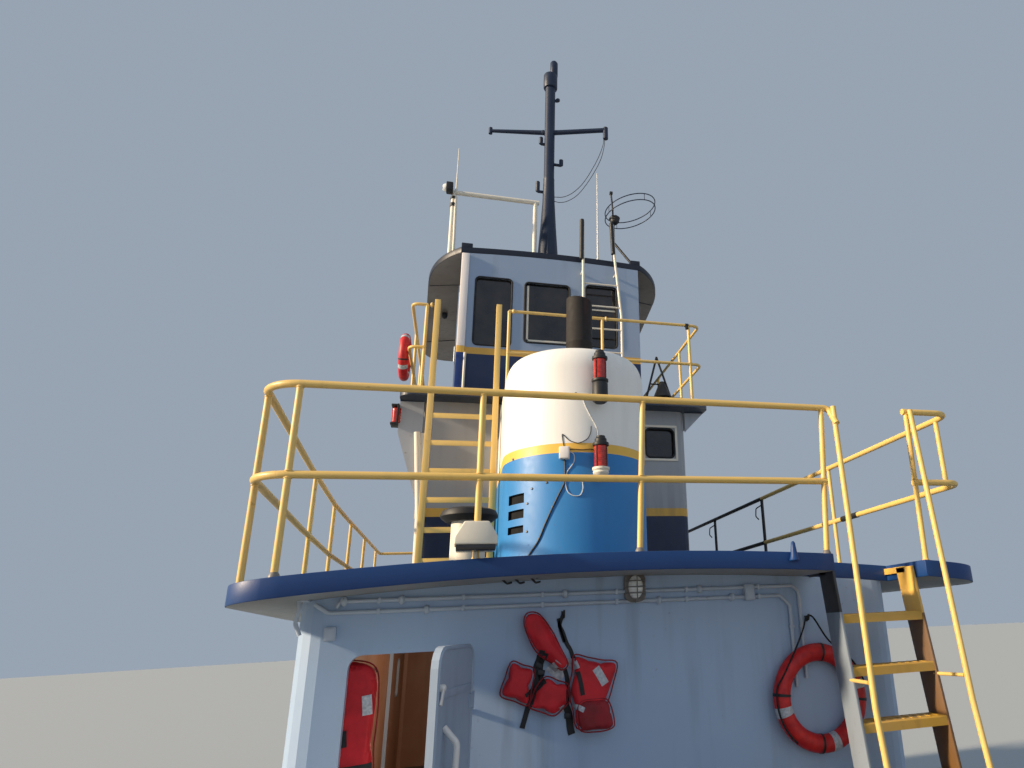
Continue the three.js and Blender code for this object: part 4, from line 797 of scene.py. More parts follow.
bm = bmesh.new()
for x in (-1.555, -0.835):
    low, high = deck_top(x) - 0.003, UPPER_LADDER_HEAD
    outline = [(upper_ladder_y(low) - 0.045, low), (upper_ladder_y(low) + 0.045, low),
               (upper_ladder_y(high) + 0.045, high), (upper_ladder_y(high) - 0.045, high)]
    plate(bm, outline, 0.066, sideways(x - 0.033), 0.006)
    block(bm, (x - 0.01, -1.33, 5.71), (x + 0.01, -1.1003, 5.79), 0.002)
for i in range(7):
    z = 3.78 + 0.323 * i
    y = upper_ladder_y(z)
    block(bm, (-1.53, y - 0.043, z - 0.012), (-0.86, y + 0.043, z), 0.003)
    block(bm, (-1.53, y - 0.043, z - 0.06), (-0.86, y - 0.033, z - 0.006), 0.002)
piece("upper_ladder_bars", bm, yellow_enamel, stands_for=["upper_ladder"])

STILE_X, RUNG_R = 0.425, 0.013
bm = bmesh.new()
stile = [(1.005, 0, UPPER_DECK), (1.005, 0, 7.44), (0.915, 0, 8.44), (0.895, 0, 9.03)]
pipe(bm, [(STILE_X, 0, UPPER_DECK), (STILE_X, 0, 9.0), (STILE_X, 0, 9.03)], 0.02)
pipe(bm, rounded(stile, 0.2), 0.02)


def stile_x(z):
    """The starboard stile leans in towards the roof's edge."""
    return 0.915 + 0.09 * min(max(8.44 - z, 0), 1)


for z in (6.7, 8.18):
    for x in (STILE_X, stile_x(z)):
        block(bm, (x - 0.015, 0, z - 0.015), (x + 0.015, PILOT_AFT - 0.0003, z + 0.015), 0.002)
for i in range(6):
    z = 6.105 + 0.37 * i
    pipe(bm, [(STILE_X, 0, z), (stile_x(z), 0, z)], RUNG_R, 10)
    for x in (STILE_X + 0.022, stile_x(z) - 0.022):
        bead(bm, (x, 0, z), (1, 0, 0), RUNG_R)
piece("roof_ladder_pipes", bm, cream_enamel, stands_for=["roof_ladder"])
bm = bmesh.new()
for foot, top, width in (((0.398, -0.012, 8.36), (0.405, -0.012, 9.05), 0.034),
                         ((0.893, -0.008, 8.5), (0.872, -0.008, 9.05), 0.034)):
    a, b = Vector(foot), Vector(top)
    path = [a, a + (b - a) * 0.05, a + (b - a) * 0.5, a + (b - a) * 0.96, b]
    pipe(bm, path, width, 14)
piece("ladder_grip_sleeves", bm, black_enamel)

# %% [markdown]
# The mast is steel tube, stepped down where thinner tube was welded on, and stands on a doubler plate. Its
# yard carries lamps and the aerial wires that droop to the roof.

# %% Mast
MAST_Y = 1.05
bm = bmesh.new()
foot = roof_top(0)
turned(bm, [(0, foot + 0.0003), (0.2, foot + 0.0003), (0.2, foot + 0.03), (0.19, foot + 0.04),
            (0.177, foot + 0.04),
            (0.165, 9.0), (0.132, 9.5), (0.105, 10.0), (0.094, 10.44), (0.097, 10.46), (0.09, 10.5),
            (0.09, 12.44),
            (0.118, 12.45), (0.125, 12.47), (0.125, 12.73), (0.118, 12.75), (0, 12.75)],
       Matrix.Translation((0, MAST_Y, 0)), 32)
turned(bm, [(0, 12.74), (0.062, 12.745), (0.07, 12.76), (0.07, 13.05), (0.055, 13.08), (0, 13.08)],
       Matrix.Translation((0.06, MAST_Y, 0)), 20)
for tip, radius, low, high, end in (((-1.019, 1.304), 0.03, 0.06, 0.06, 0.034),
                                    ((0.97, 0.808), 0.042, 0.19, 0.045, 0.046)):
    pipe(bm, [(0, MAST_Y, 11.465), (tip[0] / 2, (MAST_Y + tip[1]) / 2, 11.4925), (*tip, 11.52)], 0.045, 14,
         radius)
    pipe(bm, [(*tip, 11.52 - low), (*tip, 11.52), (*tip, 11.52 + high)], end, 14)
    bead(bm, (tip[0] * 0.095, MAST_Y + (tip[1] - MAST_Y) * 0.095, 11.47), (*tip, 0), 0.044, 0.012)
piece("mast_tube", bm, mast_enamel, stands_for=["mast"])

# %% [markdown]
# The mast's lamps show only as outlines against the sky, so each is a short turned can on a flat bracket.

# %% Lamps and brackets on the mast
bm = bmesh.new()
for side, z, reach, height in ((-1, 11.2, 0.15, 0.14), (1, 10.8, 0.21, 0.12), (-1, 10.2, 0.19, 0.2),
                               (1, 12.2, 0.14, 0.05)):
    block(bm, (min(side * 0.08, side * reach), MAST_Y - 0.03, z - 0.012),
          (max(side * 0.08, side * reach), MAST_Y + 0.03, z + 0.012), 0.004)
    turned(bm, [(0, -height / 2), (0.03, -height / 2), (0.036, -height / 2 + 0.01),
                (0.036, height / 2 - 0.01),
                (0.026, height / 2), (0, height / 2)],
           Matrix.Translation((side * reach, MAST_Y, z + height / 2)), 16)
pipe(bm, [(-0.03, MAST_Y - 0.215, foot), (-0.03, MAST_Y - 0.215, 8.8), (-0.02, MAST_Y - 0.19, 9.3)], 0.012,
     10)
piece("mast_lamps", bm, mast_enamel)

# %% [markdown]
# Two aerial wires hang slack from the yard's starboard end to the mast. Each takes the hanging curve that
# its points follow.

# %% Drooping aerial wires
# PVC, extruded over wire: smooth, in dull black and in pale grey-white.
cable_jacket, tree, shader, place = surface("pvc_cable_jacket", Roughness=0.5)
tone = ramp(tree, cloud(tree, place, 40, 3), 0.3, 0.7)
tree.links.new(mixed(tree, tone, linear(0x101216), linear(0x23262b)), shader.inputs["Base Color"])
white_jacket, tree, shader, place = surface("white_pvc_jacket", Roughness=0.45)
tone = ramp(tree, cloud(tree, place, 30, 3), 0.3, 0.7)
tree.links.new(mixed(tree, tone, linear(0xb9bcbd), linear(0xe4e5e4)), shader.inputs["Base Color"])


def smooth_path(points, steps=6):
    """Points eased into one smooth curve through all of them."""
    points = [Vector(p) for p in points]
    ends = [points[0] * 2 - points[1]] + points + [points[-1] * 2 - points[-2]]
    path = []
    for a, b, c, d in zip(ends, ends[1:], ends[2:], ends[3:]):
        for i in range(steps):
            t = i / steps
            path.append(0.5 * (2 * b + (c - a) * t + (2 * a - 5 * b + 4 * c - d) * t * t
                               + (3 * b - a - 3 * c + d) * t ** 3))
    return path + [points[-1]]


def cable(name, points, diameter, finish, steps=6):
    """A cable through points, a pipe eased along them."""
    path = smooth_path(points, steps)
    bm = bmesh.new()
    pipe(bm, path, diameter / 2, 8)
    made = piece(name, bm, finish)


cable("aerial_wire_outer", [(0.952, 0.812, 11.335), (0.945, 0.81, 11.18), (0.878, 0.828, 10.876),
                            (0.714, 0.863, 10.507), (0.508, 0.908, 10.172), (0.328, 0.946, 10.021),
                            (0.19, 0.976, 9.985), (0.095, 1.0, 10.01)], 0.011, cable_jacket)
cable("aerial_wire_inner", [(0.935, 0.816, 11.42), (0.925, 0.817, 11.2), (0.809, 0.843, 10.846),
                            (0.599, 0.888, 10.422), (0.418, 0.927, 10.199), (0.25, 0.965, 10.1),
                            (0.095, 1.0, 10.095)], 0.011, cable_jacket)

# %% [markdown]
# The goalpost is welded pipe with a deck lamp at its port end. Whips are fibreglass rods, thick at the foot
# and thin at the tip, so a pipe with another end radius does it.

# %% Goalpost and whip antennas
POST_Y, GOALPOST_TOP = 0.85, 9.83
bm = bmesh.new()
for x in (-1.55, -0.24):
    z = roof_top(x)
    turned(bm, [(0, z + 0.0003), (0.06, z + 0.0003), (0.06, z + 0.018), (0.045, z + 0.02),
                (0.035, z + 0.035),
                (0.035, GOALPOST_TOP), (0, GOALPOST_TOP)], Matrix.Translation((x, POST_Y, 0)), 20)
pipe(bm, [(x, POST_Y, GOALPOST_TOP) for x in (-1.61, -0.9, -0.18)], 0.038, 18)
block(bm, (-1.535, 0.83, GOALPOST_TOP), (-1.495, 0.87, 9.9), 0.004)
pipe(bm, [(-1.493, 0.812, roof_top(1.49)), (-1.497, 0.812, 9.0), (-1.512, 0.83, 9.75)], 0.022, 12)
piece("goalpost_pipes", bm, cream_enamel, stands_for=["goalpost"])
bm = bmesh.new()
block(bm, (-1.665, 0.68, 9.77), (-1.56, 0.84, 9.92), 0.014)
for x, low, high in ((-1.55, 9.56, 9.62), (-1.55, 9.70, 9.74)):
    turned(bm, [(0.036, low), (0.046, low), (0.046, high), (0.036, high)],
           Matrix.Translation((x, POST_Y, 0)), 18)
piece("goalpost_lamp_housing", bm, black_enamel)
# Polycarbonate, moulded with level ribs: pale, glossy and never quite clear.
clear_lens, tree, shader, place = surface("polycarbonate_lens", Roughness=0.12)
tone = node(tree, "TexWave", {"Vector": place, "Scale": per(40)}, bands_direction="Z").outputs["Fac"]
tree.links.new(mixed(tree, tone, linear(0xe2e4e2), linear(0xf6f6f2)), shader.inputs["Base Color"])
bm = bmesh.new()
to_port = Matrix.Translation((-1.664, 0.76, 9.84)) @ Matrix.Rotation(-math.pi / 2, 4, "Y")
turned(bm, [(0, 0), (0.07, 0), (0.07, 0.012), (0.066, 0.02), (0.055, 0.045), (0.04, 0.055), (0, 0.056)],
       to_port, 24)
piece("goalpost_lamp_lens", bm, clear_lens)
bm = bmesh.new()
pipe(bm, [(-1.515, POST_Y, 9.9003), (-1.515, POST_Y, 10.0)], 0.0125, 10)
pipe(bm, [(-1.515, POST_Y, 10.0), (-1.515, POST_Y, 10.35), (-1.515, POST_Y, 10.7)], 0.0115, 10, 0.006)
piece("whip_port", bm, cream_enamel, stands_for=["whip_antenna_port"])
bm = bmesh.new()
pipe(bm, [(0.777, 0.65, roof_top(0.777)), (0.777, 0.65, 8.8)], 0.018, 10)
pipe(bm, [(0.777, 0.65, 8.8), (0.777, 0.65, 9.6), (0.777, 0.65, 10.44)], 0.016, 10, 0.007)
piece("whip_starboard", bm, cream_enamel, stands_for=["whip_antenna_starboard"])

# %% [markdown]
# The direction finder is two thin hoops beside a pole, with a knob of tape and putty on top.

# %% Loop antenna
bm = bmesh.new()
pole = (0.985, 0.38)
pipe(bm, [(*pole, roof_top(0.985)), (*pole, 9.0), (*pole, 9.33)], 0.025, 14)
pipe(bm, [(*pole, 8.95), (1.27, 0.19, roof_top(1.27) - 0.02)], 0.02, 12)
pipe(bm, [(0.985, 0.38, 9.4), (0.931, 0.142, 9.42)], 0.014, 10)
pipe(bm, [(0.931, 0.142, 9.395), (0.905, 0.125, 9.69)], 0.015, 10)
block(bm, (0.88, 0.1, 9.68), (0.93, 0.15, 9.73), 0.008)
knob = bmesh.ops.create_icosphere(bm, subdivisions=3, radius=0.085,
                                  matrix=Matrix.Translation((1.01, 0.38, 9.38)))["verts"]
for vert in knob:
    away = vert.co - Vector((1.01, 0.38, 9.38))
    lumps = math.sin(away.x * 62 + 1) * math.sin(away.y * 55) + math.sin(away.z * 70)
    vert.co += away * 0.16 * lumps * 0.5
piece("loop_antenna_pole", bm, black_enamel, stands_for=["loop_antenna"])
HOOP_AT, HOOP_Z, HOOP_GAP, HOOP_R, HOOP_TILT = (1.282, 0.38), 9.52, 0.118, 0.435, -0.27
bm = bmesh.new()
for z in (HOOP_Z, HOOP_Z + HOOP_GAP):
    tilt = Matrix.Translation((*HOOP_AT, z)) @ Matrix.Rotation(HOOP_TILT, 4, "Y")
    hoop = [tilt @ Vector((x, y, 0)) for x, y in arc(0, 0, HOOP_R, 0, 360, 72)]
    pipe(bm, hoop[:-1] + [hoop[0]], 0.0085, 10)
for turn in (20, 110, 200, 290):
    x, y = arc(0, 0, HOOP_R, turn, turn, 1)[0]
    foot = Matrix.Translation((*HOOP_AT, HOOP_Z)) @ Matrix.Rotation(HOOP_TILT, 4, "Y") @ Vector((x, y, 0))
    pipe(bm, [foot, foot + Vector((0, 0, HOOP_GAP))], 0.005, 8)
piece("loop_antenna_hoops", bm, mast_enamel)

# %% [markdown]
# The exhaust is a pipe with a wall and a bore, cut off at a slant. The cut is a bisect that clears what is
# outside, and a bridge closes the wall between the two loops it leaves.

# %% Exhaust pipe
bm = bmesh.new()
turned(bm, [(0, 5.8003), (0.17, 5.8003), (0.17, 5.83), (0.15, 5.832), (0.15, 6.1), (0.153, 6.105),
            (0.153, 6.12),
            (0.15, 6.125), (0.15, 6.75), (0.138, 6.75), (0.138, 6.4), (0.138, 5.92), (0, 5.92)],
       Matrix.Translation((0.05, FUNNEL_Y, 0)), 36)
slant = Vector((math.sin(math.radians(8)), 0, math.cos(math.radians(8))))
bmesh.ops.bisect_plane(bm, geom=bm.verts[:] + bm.edges[:] + bm.faces[:], plane_co=(0.05, FUNNEL_Y, 6.66),
                       plane_no=slant, clear_outer=True)
rim = [e for e in bm.edges if e.is_boundary and e.verts[0].co.z > 6.5]
bmesh.ops.bridge_loops(bm, edges=rim)
# Mild steel pipe, rolled, burnt black by hot gas: matt, with rust that comes through.
sooty_steel = enamel("sooty_steel", [(-9, 0x17120f)], rough=0.7, rust=1.0, dirt=0x5b2a16, grime=0.9, fade=0)
piece("exhaust_tube", bm, sooty_steel, stands_for=["exhaust_pipe"])

# %% [markdown]
# Windows are tinted safety glass in black rubber profile, and each gets a pane a few millimetres thick in
# the middle of the wall and a rounded gasket that grips both. Dark glass hides a cabin by day, because far
# less light comes out of it than its face reflects.

# %% Window glass and gaskets
# Float glass, tempered and tinted: dark and mirror smooth, hazed by dried spray.
glass, tree, shader, place = surface("tinted_safety_glass", Roughness=0.05, Transmission_Weight=0.55)
shader.inputs["IOR"].default_value = 1.5
haze = ramp(tree, cloud(tree, place, 420, 4), 0.3, 0.8)
tree.links.new(mixed(tree, haze, linear(0x11161b), linear(0x2b343c)), shader.inputs["Base Color"])
# The same glass with sun film stuck inside, which hides the room behind.
dark_glass, tree, shader, place = surface("sun_film_glass", Roughness=0.08)
haze = ramp(tree, cloud(tree, place, 300, 4), 0.3, 0.8)
tree.links.new(mixed(tree, haze, linear(0x14161a), linear(0x3a3431)), shader.inputs["Base Color"])
# EPDM rubber, extruded: matt black that the sun turns chalky.
gasket, tree, shader, place = surface("epdm_gasket", Roughness=0.7)
chalk = ramp(tree, cloud(tree, place, 60, 4), 0.4, 0.8)
tree.links.new(mixed(tree, chalk, linear(0x16171a), linear(0x2d3033)), shader.inputs["Base Color"])


def window(panes, seals, wall, width, height, corner, proud):
    """A pane and its gasket about the middle of the wall's outer face, whose Z points out."""
    inner = corner_outline(width - 0.002, height - 0.002, corner)
    plate(panes, inner, 0.006, wall @ Matrix.Translation((0, 0, -0.043)), 0)
    line = corner_outline(width - 0.004, height - 0.004, corner, 5)
    rim = [wall @ Vector((x, y, proud - 0.014)) for x, y in line]
    pipe(seals, rim + [rim[0]], 0.014, 8)


def window_row(name, walls, finish=None, proud=0.016):
    panes, seals = bmesh.new(), bmesh.new()
    for outward, place, width, height, corner in walls:
        window(panes, seals, facing(outward, place), width, height, corner, proud)
    piece(name + "_panes", panes, finish or glass)
    piece(name + "_gaskets", seals, gasket)


PILOT_AFT_PANES = ((-1.131, 6.893, 0.523, 1.083), (-0.425, 6.98, 0.669, 0.975), (0.486, 6.98, 0.481, 1.02))
window_row("pilot_aft", [((0, -1, 0), (x + w / 2, PILOT_AFT, z + h / 2), w, h, 0.06)
                         for x, z, w, h in PILOT_AFT_PANES], dark_glass)
walls = []
for side in (-1, 1):
    for y, width in ((1.33, 0.84), (2.26, 0.74)):
        walls.append(((side, 0, 0), (side * 1.32, y + width / 2, 7.355), width, 1.01, 0.06))
    walls.append(((0, 1, 0), (side * 0.42, 3.95, 7.415), 0.68, 1.13, 0.06))
    slope = Vector((0.85 * side, 0.47, 0)).normalized()
    walls.append(((slope.x, slope.y, 0), (side * 1.085, 3.525, 7.415), 0.6, 1.13, 0.06))
window_row("pilot_side_and_front", walls, proud=-0.001)  # the doors slide past these
walls = [((side, 0, 0), (side * 2.06, y + 0.31, 2.43), 0.62, 0.56, 0.07)
         for side in (-1, 1) for y in (-3.6, -2.2, -0.7, 3.0)]
walls += [((0, 1, 0), (x + 0.31, 4.4, 2.38), 0.62, 0.66, 0.07) for x in (-1.35, 0.73)]
window_row("deckhouse", walls)
walls = [((side, 0, 0), (side * 1.65, y + 0.3, 4.8), 0.6, 0.6, 0.07)
         for side in (-1, 1) for y in (-0.3, 0.9, 2.1)]
walls += [((0, 1, 0), (x + 0.35, 4.05, 4.775), 0.7, 0.65, 0.07) for x in (-1.2, 0.5)]
window_row("lower_house", walls)
window_row("lower_house_aft", [((0, -1, 0), (1.2875, LOWER_AFT, 5.262), 0.393, 0.394, 0.07)], dark_glass)

# %% [markdown]
# Some windows have slim painted frames that catch light against the dark glass: four bars round one, two
# bars and one bar on the others.

# %% Pale window frames
bm = bmesh.new()
wall = facing((0, -1, 0), (1.2875, LOWER_AFT - 0.0003, 5.262))
for sx, sy, w, h in ((0, 0.225, 0.47, 0.03), (-0.222, 0, 0.03, 0.44), (0.222, 0, 0.03, 0.44),
                     (0, -0.225, 0.47, 0.03)):
    block(bm, (sx - w / 2, sy - h / 2, 0), (sx + w / 2, sy + h / 2, 0.014), 0.003, wall)
wall = facing((0, -1, 0), (-0.0905, PILOT_AFT, 7.4675))
block(bm, (-0.30, -0.46, -0.036), (-0.27, 0.44, -0.02), 0.003, wall)
block(bm, (-0.30, -0.46, -0.036), (0.31, -0.43, -0.02), 0.003, wall)
wall = facing((0, -1, 0), (0.7265, PILOT_AFT, 7.49))
block(bm, (-0.22, 0.1, -0.036), (0.22, 0.125, -0.02), 0.003, wall)
piece("pale_window_frames", bm, cream_enamel)

# %% [markdown]
# Steel doors are flat plates with a folded edge, dogs that pull them onto their gasket, and a handle. The
# fittings ride with their own door, so they swing with it.

# %% Door fittings
DOORS = {
    "aft_door": ((-1.02, -4.49), 1.225, 0.74, 1.73, 75),
    "side_door_port": ((-2.1, 1.5), 1.225, 0.74, 1.73, -90),
    "side_door_starboard": ((2.1, 2.26), 1.225, 0.74, 1.73, 90),
    "lower_house_door": ((1.69, 3.56), 3.56, 0.70, 1.80, 90),
}
# White enamel, brushed: glossy, yellowed a little, and it shows each rust spot.
white_enamel = enamel("white_enamel", [(-9, 0xe9e4df)], rough=0.38, fade=0.0, rust=0.5)
for name, (pin, floor_z, width, height, turn) in DOORS.items():
    leaf = Matrix.Translation((*pin, floor_z)) @ Matrix.Rotation(math.radians(turn), 4, "Z")
    upright_leaf = leaf @ Matrix(((-1, 0, 0, -0.02 - width / 2), (0, 0, -1, -0.005), (0, 1, 0, height / 2),
                                  (0, 0, 0, 1)))
    bm = bmesh.new()
    rim = [upright_leaf @ Vector((x, y, 0)) for x, y in corner_outline(width - 0.03, height - 0.03, 0.1, 6)]
    pipe(bm, rim + [rim[0]], 0.009, 8)
    for y in (-0.36, 0.36):
        block(bm, (-width / 2 + 0.05, height * y - 0.02, -0.001),
              (width / 2 - 0.05, height * y + 0.02, 0.006),
              0.002, upright_leaf)
    piece(name + "_stiffeners", bm, box_enamel, name)
    bm = bmesh.new()
    grip = [(0.10, -0.12, 0), (0.10, -0.12, 0.045), (0.10, 0.12, 0.045), (0.10, 0.12, 0)]
    x = width / 2 - 0.2
    pipe(bm, [upright_leaf @ Vector((x + p[0], p[1], p[2])) for p in rounded(grip, 0.03, 5)], 0.009, 10)
    for y in (-0.38, -0.13, 0.13, 0.38):
        spot = upright_leaf @ Matrix.Translation((width / 2 - 0.06, height * y, 0))
        turned(bm, [(0, 0), (0.02, 0), (0.02, 0.02), (0.012, 0.028), (0, 0.03)], spot, 14)
        block(bm, (-0.012, -0.09, 0.012), (0.012, 0.012, 0.024), 0.004,
              spot @ Matrix.Rotation(math.radians(25 if y > 0 else -25), 4, "Z"))
    piece(name + "_dogs", bm, white_enamel, name)

# %% [markdown]
# The open door's face has a bent white pull, and a white bar along its free edge that is a painted highlight
# of the sunlit edge.

# %% The aft door's handle
bm = bmesh.new()
lever = Matrix.Translation((-1.02, -4.49, 2.45)) @ Matrix.Rotation(math.radians(75), 4, "Z")
points = [(-0.60, -0.006, -0.22), (-0.60, -0.075, -0.2), (-0.60, -0.08, 0.02), (-0.60, -0.006, 0.1)]
pipe(bm, [lever @ p for p in rounded(points, 0.05, 6)], 0.017, 12)
points = [(-0.60, -0.006, -0.22), (-0.64, -0.02, -0.27), (-0.66, -0.02, -0.33)]
pipe(bm, [lever @ p for p in rounded(points, 0.05, 4)], 0.014, 10)
# The white bar on the free edge is a painted highlight of the sun on that edge.
block(bm, (-0.752, -0.0055, -1.1), (-0.741, 0.0355, 0.39), 0.003, lever)
piece("aft_door_white_pull_and_painted_edge_highlight", bm, white_enamel, "aft_door")

# %% [markdown]
# The pilothouse doors slide, so their pane, gasket and handle stay thin enough to pass the wall.

# %% Pilothouse doors
for side, body in ((-1, "pilothouse_door_port"), (1, "pilothouse_door_starboard")):
    panes, seals = bmesh.new(), bmesh.new()
    wall = facing((side, 0, 0), (side * 1.3685, 0.81, 7.2))
    plate(panes, corner_outline(0.44, 0.72, 0.05), 0.004, wall, 0)
    rim = [wall @ Vector((x, y, 0.002)) for x, y in corner_outline(0.45, 0.73, 0.05, 5)]
    pipe(seals, rim + [rim[0]], 0.008, 8)
    piece(body + "_pane", panes, dark_glass, body)
    piece(body + "_gasket", seals, gasket, body)
    bm = bmesh.new()
    grip = [(side * 1.3685, 0.53, 6.75), (side * 1.378, 0.53, 6.76), (side * 1.378, 0.53, 6.99),
            (side * 1.3685, 0.53, 7)]
    pipe(bm, rounded(grip, 0.01, 3), 0.007, 10)
    piece(body + "_handle", bm, steel, body)

# %% [markdown]
# Rigid steel conduit carries the wiring along the aft wall under the deck, clipped to it and joined by
# threaded couplings. The caged lamp in the middle and the boxes hang on the same runs.


# %% Conduit, boxes and the caged lamp
def couplings(bm, xs, z):
    for x in xs:
        bead(bm, (x, RUN_Y, z), (1, 0, 0), CONDUIT_R, 0.02)


WALL = HOUSE_AFT - 0.0003
RUN_Y, UPPER_RUN_Z, LOWER_RUN_Z, CONDUIT_R = WALL - 0.02, 3.235, 3.17, 0.0125
bm = bmesh.new()
for run in ([(-1.84, 3.2), (-1.82, UPPER_RUN_Z), (1.22, UPPER_RUN_Z), (1.27, 3.2), (1.27, 2.6)],
            [(-1.96, 3.225), (-1.88, LOWER_RUN_Z), (1.12, LOWER_RUN_Z), (1.19, 3.1), (1.19, 2.55)]):
    pipe(bm, rounded([(x, RUN_Y, z) for x, z in run], 0.05, 5), CONDUIT_R, 12)
couplings(bm, (-1.8, -1.47, -0.45, 0.5), UPPER_RUN_Z)
couplings(bm, (-1.32, 0.2, 0.74), LOWER_RUN_Z)
for x in (-1.6, -1.1, -0.6, -0.1, 0.4, 0.95):
    for z in (LOWER_RUN_Z, UPPER_RUN_Z):
        block(bm, (x - 0.01, WALL - 0.036, z - 0.017), (x + 0.01, WALL, z + 0.017), 0.003)
for z in (2.7, 2.95):
    for x in (1.19, 1.27):
        block(bm, (x - 0.018, WALL - 0.036, z - 0.01), (x + 0.018, WALL, z + 0.01), 0.003)
piece("wall_conduit", bm, conduit_enamel)
bm = bmesh.new()
for x, z, width, height, deep in ((0.87, 3.2, 0.07, 0.11, 0.06), (-1.86, 3.05, 0.065, 0.08, 0.04)):
    block(bm, (x - width / 2, WALL - deep, z - height / 2), (x + width / 2, WALL, z + height / 2), 0.006)
    block(bm, (x - width / 2 + 0.008, WALL - deep - 0.005, z - height / 2 + 0.008),
          (x + width / 2 - 0.008, WALL - deep + 0.002, z + height / 2 - 0.008), 0.003)
piece("wall_boxes", bm, conduit_enamel)
bm = bmesh.new()
lamp_at = facing((0, -1, 0), (0.03, WALL, 3.262))
plate(bm, corner_outline(0.15, 0.2, 0.05), 0.035, lamp_at, 0.006)
for i in range(5):
    height = -0.08 + 0.04 * i
    bow = [(-0.066, height, 0.03), (-0.05, height, 0.09), (0.05, height, 0.09), (0.066, height, 0.03)]
    pipe(bm, [lamp_at @ p for p in rounded(bow, 0.03, 4)], 0.004, 8)
bow = [(0, -0.1, 0.03), (0, -0.085, 0.095), (0, 0.085, 0.095), (0, 0.1, 0.03)]
pipe(bm, [lamp_at @ p for p in rounded(bow, 0.03, 4)], 0.004, 8)
# Old grey enamel, brushed: dirty, with rust coming through in spots.
rusty_enamel = enamel("rust_stained_enamel", [(-9, 0x75716d)], rust=0.8, grime=0.7, dirt=0x4a2c1c)
piece("caged_lamp_body", bm, rusty_enamel)
bm = bmesh.new()
turned(bm, [(0.05, 0.03), (0.052, 0.04), (0.048, 0.06), (0.035, 0.076), (0.015, 0.082), (0, 0.083)],
       lamp_at @ Matrix.Diagonal((1, 1.55, 1, 1)), 24)
piece("caged_lamp_glass", bm, clear_lens)

# %% [markdown]
# Little things make plain plates believable: hooks under the deck, a cable tail at the corner, a bell
# shaped cap on the edge, and the collars where rail posts were welded down and have begun to rust.

# %% Small fittings under and on the deck edge
bm = bmesh.new()
for x in (-0.84, -0.76, -0.66):
    path = [(x - 0.03, HOUSE_AFT - 0.18, deck_top(x) - DECK_THICK + 0.002), (x, HOUSE_AFT - 0.16, 3.302),
            (x + 0.03, HOUSE_AFT - 0.14, 3.31)]
    pipe(bm, rounded(path, 0.02, 4), 0.007, 8)
    block(bm, (x - 0.02, HOUSE_AFT - 0.2, 3.33), (x + 0.02, HOUSE_AFT - 0.12, 3.345), 0.003)
piece("soffit_clips", bm, black_enamel)
bm = bmesh.new()
coil = [(-2.05, -4.50, 3.27), (-2.03, -4.52, 3.2), (-2.05, -4.5, 3.12), (-2.02, -4.49, 3.05)]
pipe(bm, rounded(coil, 0.03, 5), 0.012, 10)
block(bm, (-2.05, -4.52, 3.24), (-1.99, -4.44, 3.33), 0.004)
piece("corner_cable_tail", bm, conduit_enamel)
bm = bmesh.new()
turned(bm, [(0, 0), (0.034, 0), (0.036, 0.006), (0.026, 0.03), (0.019, 0.08), (0.014, 0.118), (0.006, 0.128),
            (0, 0.129)], Matrix.Translation((1.02, DECK_AFT - 0.018, 3.372)), 20)
piece("deck_edge_bell_top", bm, deck_edge_enamel)
bm = bmesh.new()
for x in (-0.03, -2.111, 1.312):
    turned(bm, [(0.02, 0), (0.032, 0), (0.03, 0.012), (0.02, 0.03)],
           Matrix.Translation((x, RAIL_Y, deck_top(x) - 0.001)), 14)
piece("rail_foot_welds", bm, rusty_enamel)

# %% [markdown]
# A flat strip covers the pilothouse's corner, and pipes run down the houses. The strip takes the wall's
# bands at the wall's heights, in brighter colours that are painted sunlight.

# %% Corner strips and down pipes of the houses
bm = bmesh.new()
block(bm, (-1.66, -0.905, 4.28), (-1.60, -0.8503, 5.29), 0.01)
pipe(bm, [(-1.7, -0.89, 5.298), (-1.69, -0.89, 5.2), (-1.615, -0.9, 4.32), (-1.6, -0.9, deck_top(1.6))],
     0.037, 14)
piece("lower_house_down_pipe", bm, cream_enamel)
# The wall's bands again on the corner strip, without the fading and in brighter colours: painted sunlight.
strip_sunlit_bands = enamel("corner_strip_sunlit_enamel", [(-9, 0x06357c), (6.75, 0xf0bf50), (6.85, 0xf1e9e4)], fade=0,
                      rust=0.3)
bm = bmesh.new()
block(bm, (-1.345, PILOT_AFT - 0.04, UPPER_DECK + 0.0003), (-1.235, PILOT_AFT - 0.0003, 8.33), 0.012)
piece("pilothouse_corner_strip", bm, strip_sunlit_bands)
bm = bmesh.new()
pipe(bm, [(-1.225, PILOT_AFT - 0.06, UPPER_DECK), (-1.225, PILOT_AFT - 0.06, 6.2),
          (-1.225, PILOT_AFT - 0.06, 6.74)],
     0.018, 12)
block(bm, (-1.243, PILOT_AFT - 0.06, 6.7), (-1.207, PILOT_AFT - 0.0003, 6.74), 0.003)
piece("pilothouse_down_pipe", bm, cream_enamel)

# %% [markdown]
# The two stern lanterns are moulded drums: a ribbed coloured lens between a base and a cap, on a bracket
# from the funnel. The ribs bend the light level, and they catch small highlights by day.

